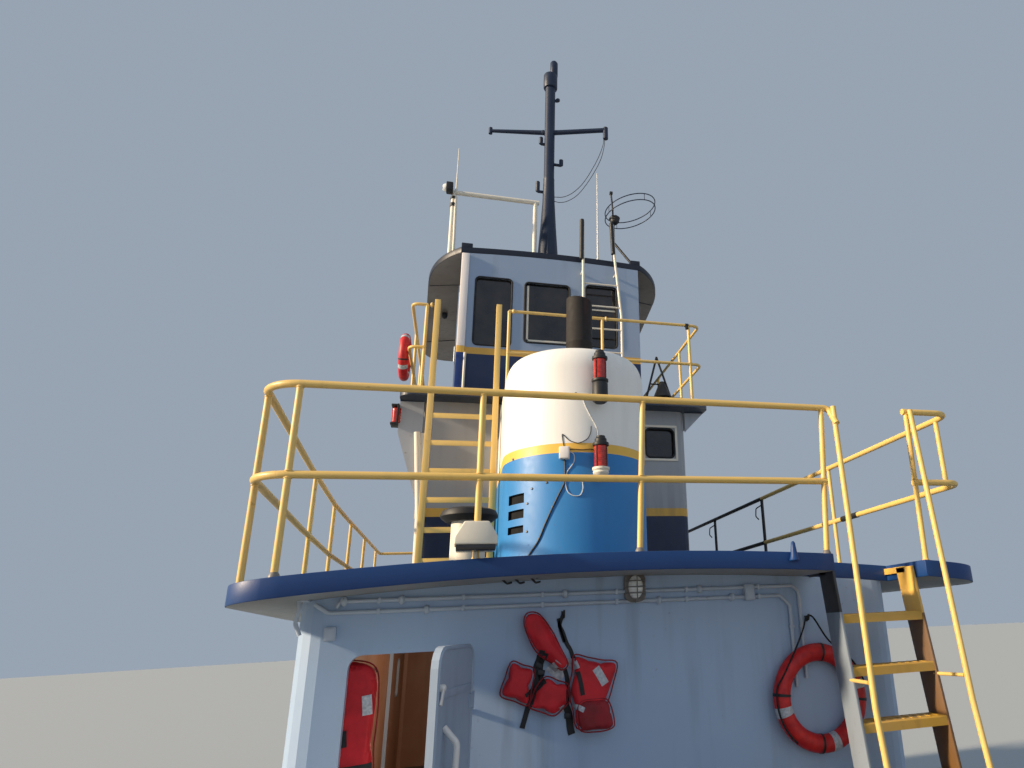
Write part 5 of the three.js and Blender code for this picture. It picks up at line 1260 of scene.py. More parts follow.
# %% Stern lanterns
# Acrylic, moulded and coloured right through: deep and glossy, for port and for starboard.
red_lens, tree, shader, place = surface("red_acrylic_lens", Roughness=0.15)
depth = ramp(tree, cloud(tree, place, 45, 3), 0.3, 0.75)
tree.links.new(mixed(tree, depth, linear(0x8e1712), linear(0xc6362a)), shader.inputs["Base Color"])
shader.inputs["Coat Weight"].default_value = 0.4
green_lens, tree, shader, place = surface("green_acrylic_lens", Roughness=0.15)
depth = ramp(tree, cloud(tree, place, 45, 3), 0.3, 0.75)
tree.links.new(mixed(tree, depth, linear(0x0c5a35), linear(0x2f9a63)), shader.inputs["Base Color"])
LANTERN = (0.115, -2.85)
for name, z, base in (("upper", 5.12, black_enamel), ("lower", 4.22, cream_enamel)):
    at_foot = Matrix.Translation((*LANTERN, z))
    bm = bmesh.new()
    low = 0 if name == "upper" else 0.165
    foot = [(0, low), (0.05, low), (0.074, low + 0.02), (0.078, low + 0.03)]
    turned(bm, foot + [(0.078, 0.2), (0.072, 0.21), (0.084, 0.225), (0.084, 0.245), (0.066, 0.25)], at_foot,
           28)
    low = z + (0.06 if name == "upper" else 0.175)
    block(bm, (LANTERN[0] - 0.03, LANTERN[1], low), (LANTERN[0] + 0.03, FUNNEL_Y - 0.745, low + 0.06), 0.005)
    piece(f"stack_lantern_{name}_base", bm, base, stands_for=[f"stack_lantern_{name}"])
    bm = bmesh.new()
    profile = [(0.06, 0.247)]
    for i in range(11):
        step = 0.252 + 0.019 * i
        profile += [(0.063, step), (0.066, step + 0.006), (0.066, step + 0.011), (0.063, step + 0.017)]
    turned(bm, profile + [(0.06, 0.468)], at_foot, 32)
    piece(f"stack_lantern_{name}_lens", bm, red_lens)
    bm = bmesh.new()
    turned(bm, [(0.064, 0.458), (0.078, 0.462), (0.08, 0.475), (0.078, 0.49), (0.06, 0.5), (0.058, 0.53),
                (0.045, 0.545), (0.043, 0.56), (0, 0.56)], at_foot, 28)
    for k in range(4):
        x, y = arc(0, 0, 0.071, 45 + 90 * k, 45 + 90 * k, 1)[0]
        spot = (LANTERN[0] + x, LANTERN[1] + y)
        pipe(bm, [(*spot, z + 0.24), (*spot, z + 0.35), (*spot, z + 0.47)], 0.004, 8)
    piece(f"stack_lantern_{name}_cap", bm, black_enamel)

# %% [markdown]
# The lanterns' wiring was run by hand: a white lead and a black one, clipped here and there to the casing,
# with slack loops at the junction box. Clipped runs lie on the paint and are fixed.

# %% Wiring on the funnel
bm = bmesh.new()
box_at = on_funnel(254, 4.64)
outward = (box_at - Vector((0, FUNNEL_Y, 4.64))).normalized()
block(bm, (-0.05, -0.062, -0.004), (0.05, 0.062, 0.05), 0.006, facing(outward, box_at))
block(bm, (-0.044, -0.056, 0.048), (0.044, 0.056, 0.056), 0.003, facing(outward, box_at))
piece("funnel_junction_box", bm, white_enamel)


def on_casing(name, spots, diameter, finish):
    """A lead clipped to the casing, through places given as angle and height."""
    path = smooth_path([on_funnel(angle, z, diameter / 2) for angle, z in spots])
    bm = bmesh.new()
    pipe(bm, path, diameter / 2, 8)
    piece(name, bm, finish)


on_casing("upper_lantern_lead", [(275, 5.2), (269.2, 5.24), (267.9, 5.18), (272.1, 5.048), (277.3, 4.92),
                                 (278.6, 4.83), (278.1, 4.71), (278, 4.6)], 0.013, white_jacket)
on_casing("slack_loop_lead", [(253.5, 4.70), (252.3, 4.79), (252.4, 4.835), (257, 4.774), (260.5, 4.752),
                              (264.5, 4.743), (270.4, 4.785), (273, 4.846), (273.6, 4.92)], 0.008,
          cable_jacket)
on_casing("lower_lantern_lead", [(256.5, 4.672), (260.3, 4.68), (267, 4.674), (273.7, 4.682), (277, 4.66)],
          0.008, cable_jacket)
on_casing("box_drop_lead", [(256, 4.66), (260.3, 4.634), (261, 4.565), (258.8, 4.508), (256.3, 4.464),
                            (254.6, 4.4), (254.7, 4.341), (256.4, 4.262), (260.4, 4.222), (265.3, 4.226),
                            (267.3, 4.29), (267.2, 4.36), (270, 4.38)], 0.01, white_jacket)
on_casing("funnel_side_lead", [(254, 4.58), (254.4, 4.48), (253.9, 4.353), (249.3, 4.22), (245.1, 4.106),
                               (240, 3.96), (235, 3.814), (227.9, 3.695), (222, 3.6), (217, 3.5),
                               (215, 3.45)],
          0.016, cable_jacket)
bm = bmesh.new()
for angle, z in ((207.4, 4.66), (240.5, 4.365), (228.5, 4.321), (224.7, 4.182), (224.8, 3.913), (262, 5.26),
                 (235, 3.83), (245.5, 4.12)):
    spot = on_funnel(angle, z)
    face = facing(spot - Vector((0, FUNNEL_Y, z)), spot)
    turned(bm, [(0, -0.002), (0.012, -0.002), (0.012, 0.006), (0.008, 0.01), (0, 0.01)], face, 10)
piece("funnel_bolts", bm, rusty_enamel)

# %% [markdown]
# The mushroom vent is a spun cap on a stub of pipe, with a gap for the air under the cap's rim. The
# floodlight beside it is a sheet metal hood over a glass that looks down at the working deck.

# %% Vent and floodlight
VENT = (-1.088, -4.15)
bm = bmesh.new()
turned(bm, [(0, 3.42), (0.135, 3.42), (0.135, 3.44), (0.12, 3.445), (0.12, 3.76), (0, 3.76)],
       Matrix.Translation((*VENT, 0)), 32)
piece("deck_vent_stem", bm, cream_enamel, stands_for=["deck_vent"])
bm = bmesh.new()
turned(bm, [(0, 3.758), (0.155, 3.758), (0.19, 3.785), (0.198, 3.795), (0.198, 3.806), (0.185, 3.835),
            (0.15, 3.85), (0.08, 3.856), (0, 3.857)], Matrix.Translation((*VENT, 0)), 36)
piece("deck_vent_cap", bm, black_enamel)

FLOOD = -1.05
bm = bmesh.new()
hood = [(FLOOD - 0.122, 3.5), (FLOOD + 0.122, 3.5), (FLOOD + 0.122, 3.546), (FLOOD + 0.07, 3.634),
        (FLOOD - 0.07, 3.634), (FLOOD - 0.122, 3.546)]
part = bmesh.new()
face = part.faces.new([part.verts.new((x, -4.916, z)) for x, z in hood])
grown = bmesh.ops.extrude_face_region(part, geom=[face])["geom"]
bmesh.ops.translate(part, vec=(0, -0.154, 0), verts=[g for g in grown if isinstance(g, bmesh.types.BMVert)])
bmesh.ops.bevel(part, geom=[e for e in part.edges if e.calc_face_angle(0) > 0.5], offset=0.008,
                affect="EDGES",
                segments=3, profile=0.5, material=-1)
join(bm, part)
pipe(bm, [(FLOOD, -4.934, deck_top(FLOOD)), (FLOOD, -4.934, 3.5)], 0.012, 12)
for k in range(4):
    y = -5.04 + 0.033 * k
    block(bm, (FLOOD - 0.06, y, 3.63), (FLOOD + 0.06, y + 0.006, 3.634), 0.001)
piece("floodlight_hood", bm, cream_enamel, stands_for=["floodlight"])
bm = bmesh.new()
block(bm, (FLOOD - 0.112, -5.062, 3.468), (FLOOD + 0.112, -4.924, 3.503), 0.006)
piece("floodlight_glass", bm, dark_glass)

# %% [markdown]
# Port shows red and starboard green, each in a black housing that hides it from the other side. One loop
# makes both.

# %% Sidelights
for side, node_name, lens, low, z in ((-1, "sidelight_port", red_lens, -0.91, 5.39),
                                      (1, "sidelight_starboard", green_lens, 2.6, 5.56)):
    bm = bmesh.new()
    x0, x1 = sorted((side * 1.9203, side * 1.94))
    block(bm, (x0, low, z), (x1, low + 0.2, z + 0.25), 0.004)
    for low_z in (z, z + 0.225):
        x0, x1 = sorted((side * 1.9203, side * 2.008))
        block(bm, (x0, low + 0.01, low_z), (x1, low + 0.19, low_z + 0.025), 0.005)
    piece(node_name + "_housing", bm, black_enamel, stands_for=[node_name])
    bm = bmesh.new()
    ribs = [(0.054 + 0.004 * (i % 2), 0.03 + 0.018 * i) for i in range(11)]
    profile = [(0.03, 0.02)] + ribs + [(0.03, 0.23)]
    turned(bm, profile, Matrix.Translation((side * 1.948, low + 0.1, z)), 24)
    piece(node_name + "_lens", bm, lens)

# %% [markdown]
# A black cone is the sign that is hoisted by day. It is stowed here against a small A frame of thin pipe.

# %% Cone day shape on its frame
bm = bmesh.new()
CONE = (1.31, -0.98)
turned(bm, [(0, 5.8403), (0.12, 5.8403), (0.122, 5.85), (0.03, 6.065), (0.02, 6.07), (0, 6.07)],
       Matrix.Translation((*CONE, 0)), 28)
block(bm, (1.05, -1.04, 5.8003), (1.57, -0.92, 5.8403), 0.005)
pipe(bm, [(1.09, CONE[1], 5.83), (1.25, CONE[1], 6.42)], 0.014, 10)
pipe(bm, [(1.25, CONE[1], 6.41), (1.43, CONE[1], 5.83)], 0.014, 10)
pipe(bm, [(1.14, CONE[1], 6.03), (1.37, CONE[1], 6.03)], 0.01, 10)
piece("cone_day_shape", bm, black_enamel, stands_for=["cone_marker"])

# %% [markdown]
# Ring buoys are closed-cell foam in a smooth orange-red cover. A spun circle gives the ring, and
# bands of reflective tape go round it. A black line is rove round the one on the wall and hangs it up.

# %% Rings
# PVC skin, moulded over foam: satin orange-red with a fine orange-peel grain.
cover, tree, shader, place = surface("buoy_cover", Roughness=0.5)
tone = ramp(tree, cloud(tree, place, 60, 4), 0.3, 0.75)
tree.links.new(mixed(tree, tone, linear(0xb01019), linear(0xdc2a26)), shader.inputs["Base Color"])
ring_bump = node(tree, "Bump", {"Height": cloud(tree, place, 5, 2), "Strength": 0.25, "Distance": 0.001})
tree.links.new(ring_bump.outputs[0], shader.inputs["Normal"])
# Reflective tape, glass beads under film: pale grey, brighter where it is clean.
tape, tree, shader, place = surface("reflective_tape", Roughness=0.35)
tone = ramp(tree, cloud(tree, place, 18, 3), 0.3, 0.8)
tree.links.new(mixed(tree, tone, linear(0x9aa0a8), linear(0xd9dade)), shader.inputs["Base Color"])


def torus(bm, outer, tube, matrix, steps=48, sides=20, angle=2 * math.pi):
    where = Matrix.Translation((outer - tube, 0, 0)) @ Matrix.Rotation(math.pi / 2, 4, "X")
    verts = bmesh.ops.create_circle(bm, segments=sides, radius=tube, matrix=where)["verts"]
    edges = list({e for v in verts for e in v.link_edges})
    bmesh.ops.spin(bm, geom=verts + edges, cent=(0, 0, 0), axis=(0, 0, 1), dvec=(0, 0, 0), angle=angle,
                   steps=steps, use_merge=angle > 6.28, use_duplicate=False)
    bmesh.ops.transform(bm, matrix=matrix, verts=bm.verts)


def bands_on(bm, outer, tube, matrix, starts, wide, proud):
    """Short sleeves round a ring, which start at some angles and are a given angle wide."""
    for start in starts:
        band = bmesh.new()
        torus(band, outer, tube, Matrix(), 4, 20, wide)
        for vert in band.verts:
            middle = Vector((vert.co.x, vert.co.y, 0)).normalized() * (outer - tube)
            vert.co += (vert.co - middle).normalized() * proud
        join(bm, band, matrix @ Matrix.Rotation(math.radians(start), 4, "Z"))


def ring(name, node_name, outer, tube, matrix, turn, bands=4):
    bm = bmesh.new()
    torus(bm, outer, tube, matrix)
    piece(name, bm, cover, stands_for=[node_name])
    bm = bmesh.new()
    bands_on(bm, outer, tube, matrix, [turn + 90 * k for k in range(bands)], 0.19, 0.0015)
    piece(name + "_tape", bm, tape)
    bm = bmesh.new()
    bands_on(bm, outer, tube, matrix, [turn - 16 + 90 * k for k in range(4)], 0.06, 0.003)
    piece(name + "_lashings", bm, cable_jacket)


# %% [markdown]
# The ring on the wall has lost one band of tape. Its line goes from the hook round both sides of it, in two
# lengths, and the one on the rail above is carried by the rail.

# %% The two rings and the line
BUOY = (1.34, -4.5103, 2.475)
ring("ring_buoy_cover", "ring_buoy", 0.355, 0.06,
     Matrix.Translation(BUOY) @ Matrix.Rotation(math.pi / 2, 4, "X"), 188, 3)
ring("life_ring_cover", "life_ring", 0.30, 0.055,
     Matrix.Translation((-1.9326, -0.62, 6.34)) @ Matrix.Rotation(math.pi / 2, 4, "Y"), 40)
# Braided line: dull black, its strands drawn about 19 mm apart so that they show.
rope, tree, shader, place = surface("black_braided_rope", Roughness=0.85)
strands = node(tree, "TexWave", {"Vector": place, "Scale": per(60), "Distortion": 2.0}).outputs["Fac"]
tree.links.new(mixed(tree, strands, linear(0x0c0d10), linear(0x24262a)), shader.inputs["Base Color"])
tree.links.new(node(tree, "Bump", {"Height": strands, "Strength": 0.6, "Distance": 0.002}).outputs[0],
               shader.inputs["Normal"])
hang = [(1.318, -4.472, 3.015), (1.29, -4.505, 3.005), (1.247, -4.53, 2.924), (1.152, -4.552, 2.78),
        (1.055, -4.56, 2.64)]
hang += [(x, -4.555, z) for x, z in arc(BUOY[0], BUOY[2], 0.352, 165, 230, 8)]
cable("ring_buoy_line_port", hang, 0.013, rope, steps=4)
hang = [(1.322, -4.472, 3.015), (1.35, -4.505, 3.008), (1.419, -4.53, 2.876), (1.47, -4.547, 2.81)]
hang += [(x, -4.555, z) for x, z in arc(BUOY[0], BUOY[2], 0.345, 55, 15, 5)]
cable("ring_buoy_line_starboard", hang, 0.013, rope, steps=4)
bm = bmesh.new()
pipe(bm, rounded([(1.32, HOUSE_AFT, 3.0), (1.32, -4.49, 2.99), (1.32, -4.5, 3.03)], 0.015, 4), 0.008, 10)
block(bm, (1.308, -4.456, 2.98), (1.332, HOUSE_AFT - 0.0003, 3.02), 0.002)
pipe(bm, rounded([(-0.46, HOUSE_AFT, 3.10), (-0.46, -4.50, 3.08), (-0.46, -4.51, 3.13)], 0.015, 4), 0.007,
     10)
block(bm, (-0.472, -4.456, 3.085), (-0.448, HOUSE_AFT - 0.0003, 3.125), 0.002)
piece("wall_hooks", bm, black_enamel)

# %% [markdown]
# Life jackets are foam panels sewn into woven nylon, so each panel is full in the middle and thin at its
# sewn edge. Cloth does that by itself: a flat panel is remeshed finely, blown up with a little pressure,
# and kept from swelling too far. Straps and tape are laid on the finished pads afterwards.

# %% Woven nylon, webbing and the swelling of a pad
THREAD, WAVES = 3.2, 20  # together they draw threads 20 mm apart, because real ones of 0.4 mm don't show


def woven(name, dark, light, thread=THREAD, sheen=0.06):
    finish, tree, shader, place = surface(name, Roughness=0.62, Sheen_Weight=sheen)
    weave = {"Vector": place, "Scale": per(thread) / WAVES}
    warp = node(tree, "TexWave", weave, bands_direction="X").outputs["Fac"]
    weft = node(tree, "TexWave", weave, bands_direction="Z").outputs["Fac"]
    threads = node(tree, "Math", {0: warp, 1: weft}, operation="MAXIMUM").outputs[0]
    worn = ramp(tree, cloud(tree, place, 120, 5), 0.3, 0.75)
    tree.links.new(mixed(tree, worn, linear(dark), linear(light)), shader.inputs["Base Color"])
    creases = node(tree, "Bump", {"Height": cloud(tree, place, 45, 4), "Strength": 0.45, "Distance": 0.006})
    skin = node(tree, "Bump", {"Height": threads, "Strength": 0.3, "Distance": 0.0008,
                               "Normal": creases.outputs[0]})
    tree.links.new(skin.outputs[0], shader.inputs["Normal"])
    return finish


# Nylon cloth and webbing, woven and dyed: matt, with a thread grain and soft creases.
jacket_red = woven("red_nylon", 0xb80c1a, 0xe01a2a)
jacket_dark = woven("dark_red_nylon", 0x750c16, 0xa01220)
webbing = woven("black_webbing", 0x0c0c0e, 0x1f2023, 2.4, 0.1)


# %% [markdown]
# A pad starts as a plate with a soft outline. Remeshing gives it even small faces, which cloth needs, and
# pressure then fills it. The simulation has no random part, so it comes out the same each time.


# %% Swelling a pad
def soft_outline(points, steps=5):
    """A closed outline eased round through its points."""
    points = [Vector((x, z, 0)) for x, z in points]
    loop = [points[-1]] + points + points[:2]
    path = []
    for a, b, c, d in zip(loop, loop[1:], loop[2:], loop[3:]):
        for i in range(steps):
            t = i / steps
            path.append(0.5 * (2 * b + (c - a) * t + (2 * a - 5 * b + 4 * c - d) * t * t
                               + (3 * b - a - 3 * c + d) * t ** 3))
    return [(p.x, p.y) for p in path]


PRESSURE, CLOTH_STEPS, BLOWN_FRAME = 4.0, 4, 16
VOXEL = 0.006


def swollen(bm, cap, back):
    """The closed shape of bm after cloth pressure, no point moved more than cap nor behind the wall."""
    mesh = bpy.data.meshes.new("pad")
    bm.to_mesh(mesh)
    bm.free()
    pad = bpy.data.objects.new("pad", mesh)
    bpy.context.scene.collection.objects.link(pad)
    remesh = pad.modifiers.new("remesh", "REMESH")
    remesh.mode = "VOXEL"
    remesh.voxel_size = VOXEL
    fine = bpy.data.meshes.new_from_object(pad.evaluated_get(bpy.context.evaluated_depsgraph_get()))
    pad.modifiers.clear()
    pad.data = fine
    start = [v.co.copy() for v in fine.vertices]
    cloth = pad.modifiers.new("cloth", "CLOTH")
    cloth.settings.use_pressure = True
    cloth.settings.uniform_pressure_force = PRESSURE
    cloth.settings.quality = CLOTH_STEPS
    cloth.settings.effector_weights.gravity = 0
    for frame_number in range(1, BLOWN_FRAME + 1):
        bpy.context.scene.frame_set(frame_number)
    blown = bpy.data.meshes.new_from_object(pad.evaluated_get(bpy.context.evaluated_depsgraph_get()))
    pad.modifiers.clear()
    for vert, first, last in zip(fine.vertices, start, blown.vertices):
        move = last.co - first
        if move.length > cap:
            move = move.normalized() * cap
        vert.co = first + move
        vert.co.y = min(vert.co.y, back)
    bpy.context.scene.frame_set(1)
    bm = bmesh.new()
    bm.from_mesh(fine)
    bpy.data.objects.remove(pad)
    bmesh.ops.smooth_vert(bm, verts=bm.verts, factor=0.5, use_axis_x=True, use_axis_y=True, use_axis_z=True)
    return bm


# %% [markdown]
# Each finished pad is remembered as a tree of its faces, so that straps can be laid on top of the heap. A
# strap is a grid bent along its path, dropped onto the pads and then given a thickness.


# %% Pads and straps
pads = []


def pad(name, outline, low_y, high_y, finish, stands_for=(), cap=0.014, wall=HOUSE_AFT - 0.001):
    """A stuffed panel between two depths, whose outline is (x, z), with bound edges."""
    outline = soft_outline(outline)
    bm = bmesh.new()
    onto_wall = Matrix(((1, 0, 0, 0), (0, 0, -1, high_y - cap * 0.5), (0, 1, 0, 0), (0, 0, 0, 1)))
    plate(bm, outline, (high_y - low_y) - 1.5 * cap, onto_wall, 0.009)
    bmesh.ops.recalc_face_normals(bm, faces=bm.faces)
    bm = swollen(bm, cap, wall)
    pads.append(BVHTree.FromBMesh(bm))
    made = piece(name, bm, finish, stands_for=stands_for, smooth=80)
    edge = [Vector((x, (low_y + high_y) / 2, z)) for x, z in outline]
    middle = sum(edge, Vector()) / len(edge)
    edge = [p + (p - middle).normalized() * cap * 0.7 for p in edge]
    bm = bmesh.new()
    pipe(bm, edge + [edge[0]], 0.0045, 8)
    piece(name + "_binding", bm, jacket_dark)


def lie_on_pads(x, z, wall, off):
    """The depth of whatever is foremost at x and z, seen from aft."""
    depth = wall
    for tree_of_pad in pads:
        spot = tree_of_pad.ray_cast(Vector((x, wall - 0.5, z)), Vector((0, 1, 0)), 0.6)[0]
        if spot:
            depth = min(depth, spot.y)
    return depth - off


def ribbon(bm, path, width, wall=HOUSE_AFT - 0.001, off=0.004, thick=0.003):
    """A flat strap laid over the pads along a path of (x, z), clear of them by off."""
    line = smooth_path([(x, 0, z) for x, z in path], 5)
    part = bmesh.new()
    bmesh.ops.create_grid(part, x_segments=3, y_segments=len(line) - 1, size=1)
    columns = sorted({round(v.co.x, 4) for v in part.verts})
    rows = sorted({round(v.co.y, 4) for v in part.verts})
    for vert in part.verts:
        column, row = columns.index(round(vert.co.x, 4)), rows.index(round(vert.co.y, 4))
        i = min(row, len(line) - 1)
        a, b = line[max(i - 1, 0)], line[min(i + 1, len(line) - 1)]
        run = (b - a).normalized()
        across = Vector((run.z, 0, -run.x)) * width * (column / (len(columns) - 1) - 0.5)
        spot = line[i] + across
        near = [lie_on_pads(spot.x + dx, spot.z + dz, wall, off)
                for dx, dz in ((0, 0), (0.006, 0), (-0.006, 0), (0, 0.006), (0, -0.006))]
        vert.co = (spot.x, min(near), spot.z)
    bmesh.ops.smooth_vert(part, verts=part.verts, factor=0.3, use_axis_x=False, use_axis_y=True,
                          use_axis_z=False)
    bmesh.ops.recalc_face_normals(part, faces=part.faces)
    if sum((f.normal for f in part.faces), Vector()).y > 0:
        bmesh.ops.reverse_faces(part, faces=part.faces)
    bmesh.ops.solidify(part, geom=part.faces[:], thickness=thick)
    join(bm, part)


# %% [markdown]
# The panels hang over each other. Each outline is drawn as seen and eased round, the panels are laid over
# one another by depth, and the straps then find the foremost cloth.

# %% Life jackets on the wall
PILLOW = [(-0.712, 3.075), (-0.69, 3.113), (-0.632, 3.108), (-0.576, 3.047), (-0.508, 2.928),
          (-0.452, 2.833),
          (-0.445, 2.795), (-0.482, 2.775), (-0.543, 2.821), (-0.628, 2.888), (-0.696, 3.006)]
pad("life_jacket_left_panel", [(-0.785, 2.824), (-0.72, 2.80), (-0.654, 2.772), (-0.668, 2.68),
                               (-0.685, 2.582),
                               (-0.765, 2.612), (-0.843, 2.647), (-0.818, 2.735)],
    -4.535, -4.462, jacket_red, ["life_jackets"])
pad("life_jacket_middle_panel", [(-0.623, 2.67), (-0.57, 2.722), (-0.50, 2.695), (-0.438, 2.668),
                                 (-0.431, 2.585),
                                 (-0.47, 2.545), (-0.52, 2.51), (-0.59, 2.535), (-0.662, 2.564),
                                 (-0.645, 2.62)],
    -4.54, -4.462, jacket_red)
pad("life_jacket_vest", [(-0.39, 2.84), (-0.30, 2.82), (-0.216, 2.80), (-0.118, 2.778), (-0.155, 2.64),
                         (-0.194, 2.511),
                         (-0.16, 2.42), (-0.26, 2.415), (-0.371, 2.427), (-0.395, 2.538), (-0.42, 2.639),
                         (-0.40, 2.74)], -4.55, -4.462, jacket_red)
pad("life_jacket_vest_flap", [(-0.36, 2.56), (-0.25, 2.575), (-0.185, 2.56), (-0.15, 2.45), (-0.165, 2.41),
                              (-0.26, 2.4), (-0.36, 2.42)], -4.573, -4.52, jacket_dark, cap=0.01)
pad("life_jacket_collar", PILLOW, -4.57, -4.466, jacket_red, cap=0.016)
bm = bmesh.new()
for path, width in (([(-0.46, 3.10), (-0.482, 3.04), (-0.46, 2.99), (-0.436, 2.924), (-0.41, 2.88),
                      (-0.393, 2.83)], 0.026),
                    ([(-0.492, 3.08), (-0.475, 3.0), (-0.45, 2.93)], 0.02),
                    ([(-0.603, 2.89), (-0.615, 2.84), (-0.635, 2.78), (-0.62, 2.73), (-0.645, 2.66),
                      (-0.67, 2.58),
                      (-0.69, 2.51), (-0.71, 2.44)], 0.032),
                    ([(-0.58, 2.87), (-0.6, 2.80), (-0.60, 2.73), (-0.585, 2.69)], 0.03),
                    ([(-0.447, 2.765), (-0.43, 2.70), (-0.43, 2.61), (-0.43, 2.55)], 0.028),
                    ([(-0.377, 2.75), (-0.36, 2.69), (-0.345, 2.61)], 0.028),
                    ([(-0.44, 2.55), (-0.42, 2.50), (-0.41, 2.42), (-0.4, 2.38)], 0.045),
                    ([(-0.70, 2.63), (-0.64, 2.66), (-0.60, 2.69)], 0.024)):
    ribbon(bm, path, width)
piece("life_jacket_straps", bm, webbing)
bm = bmesh.new()
for path, width in (([(-0.545, 2.80), (-0.50, 2.76), (-0.455, 2.72)], 0.08),
                    ([(-0.415, 2.83), (-0.40, 2.80), (-0.385, 2.765)], 0.045),
                    ([(-0.262, 2.765), (-0.235, 2.725), (-0.20, 2.665)], 0.05),
                    ([(-0.475, 2.552), (-0.46, 2.53), (-0.455, 2.51)], 0.03),
                    ([(-0.395, 2.545), (-0.37, 2.54), (-0.34, 2.525)], 0.03)):
    ribbon(bm, path, width, off=0.003, thick=0.0015)
piece("life_jacket_reflective_patches", bm, tape)
bm = bmesh.new()
for x, z, turn in ((-0.615, 2.80, 30), (-0.60, 2.755, 10), (-0.425, 2.49, 0)):
    y = lie_on_pads(x, z, HOUSE_AFT - 0.001, 0.008)
    block(bm, (-0.024, -0.009, -0.017), (0.024, 0.004, 0.017), 0.005,
          Matrix.Translation((x, max(y, -4.575), z)) @ Matrix.Rotation(math.radians(turn), 4, "Y"))
piece("life_jacket_buckles", bm, cable_jacket)

# %% [markdown]
# One more jacket hangs just inside the door, with a patch of tape and dark straps.

# %% Jacket inside the doorway
pads.clear()
INNER_WALL = -4.2247
pad("inner_jacket_panel", [(-1.88, 2.86), (-1.72, 2.88), (-1.60, 2.83), (-1.575, 2.66), (-1.58, 2.42),
                           (-1.575, 2.22),
                           (-1.72, 2.19), (-1.88, 2.21), (-1.895, 2.5)],
    -4.3747, -4.2747, jacket_red, ["inner_jacket"], wall=INNER_WALL)
bm = bmesh.new()
ribbon(bm, [(-1.9, 2.46), (-1.82, 2.45), (-1.72, 2.46)], 0.09, INNER_WALL)
ribbon(bm, [(-1.9, 2.30), (-1.74, 2.29), (-1.57, 2.30)], 0.04, INNER_WALL)
piece("inner_jacket_straps", bm, webbing)
bm = bmesh.new()
ribbon(bm, [(-1.632, 2.69), (-1.625, 2.64), (-1.618, 2.58)], 0.055, INNER_WALL, thick=0.0015)
piece("inner_jacket_patch", bm, tape)

# %% [markdown]
# Working gear on the main deck is plain and worn: wire on the winch drums, bolts through the fender, dogs on
# the hatch. The wire is one helix, because that is how a drum winds it.

# %% Winch wire
# Steel wire rope, laid and greased: brown-grey metal in darker and lighter bands.
wire_rope, tree, shader, place = surface("greased_wire_rope", Metallic=0.7, Roughness=0.55)
lay_of_wire = node(tree, "TexWave", {"Vector": place, "Scale": per(25) / 20,
                                     "Distortion": 1.0}).outputs["Fac"]
tree.links.new(mixed(tree, lay_of_wire, linear(0x2b2723), linear(0x6f675d)), shader.inputs["Base Color"])
WINCH_X, WINCH_Y, WINCH_Z, WIRE = 1.5, 6.3, 1.42, 0.018
WOUND_R, TURNS, PER_TURN = 0.1295, 21, 20
for side, body in ((-1, "winch_drum_port"), (1, "winch_drum_starboard")):
    bm = bmesh.new()
    path = []
    for i in range(TURNS * PER_TURN + 1):
        angle = 2 * math.pi * i / PER_TURN
        x = side * WINCH_X - 0.19 + 0.0181 * i / PER_TURN
        path.append((x, WINCH_Y + WOUND_R * math.cos(angle), WINCH_Z + WOUND_R * math.sin(angle)))
    pipe(bm, path, WIRE / 2, 7)
    piece(body + "_wire", bm, wire_rope, body)

# %% [markdown]
# Small turned parts in rows: dogs that ride with the hatch, bolts along the fender and caps on the bitts.

# %% Hatch dogs, fender bolts and bitts' caps
bm = bmesh.new()
for x in (-0.3, 0.3):
    for y in (-6.85, -6.6, -6.35):
        spot = Matrix.Translation((x, y, 1.176))
        turned(bm, [(0, 0), (0.022, 0), (0.022, 0.012), (0.012, 0.02), (0, 0.022)], spot, 14)
        block(bm, (-0.012, -0.05, 0.002), (0.012, 0.05, 0.014), 0.004, spot)
grip = [(-0.08, -6.86, 1.176), (-0.08, -6.86, 1.22), (0.08, -6.86, 1.22), (0.08, -6.86, 1.176)]
pipe(bm, rounded(grip, 0.02, 4), 0.009, 10)
piece("hatch_dogs", bm, black_enamel, "hatch_lid")
FENDER_X, FENDER_Y, BOLT_ROWS = 3.169, -8.369, (0.76, 0.87)
bm = bmesh.new()
bolts = [((side, 0, 0), (side * FENDER_X, -7.2 + 0.575 * i, z))
         for side in (-1, 1) for i in range(25) for z in BOLT_ROWS]
bolts += [((0, -1, 0), (-2.34 + 0.52 * i, FENDER_Y, z)) for i in range(10) for z in BOLT_ROWS]
for outward, place_of_bolt in bolts:
    turned(bm, [(0, -0.004), (0.02, -0.004), (0.02, 0.004), (0.012, 0.01), (0, 0.01)],
           facing(outward, place_of_bolt), 8)
piece("fender_bolts", bm, rusty_enamel)
bm = bmesh.new()
for x, y in ((2.7, -7.3), (2.78, -0.2), (2.4, 6.3)):
    for side in (-1, 1):
        for dy in (-0.19, 0.19):
            turned(bm, [(0.078, 1.39), (0.092, 1.395), (0.092, 1.425), (0.08, 1.434), (0, 1.438)],
                   Matrix.Translation((side * x, y + dy, 0)), 24)
piece("bitt_caps", bm, black_enamel)

# %% [markdown]
# The searchlight's bezel and glass turn with its barrel. A few dials and two levers are enough for a
# console behind dark glass.

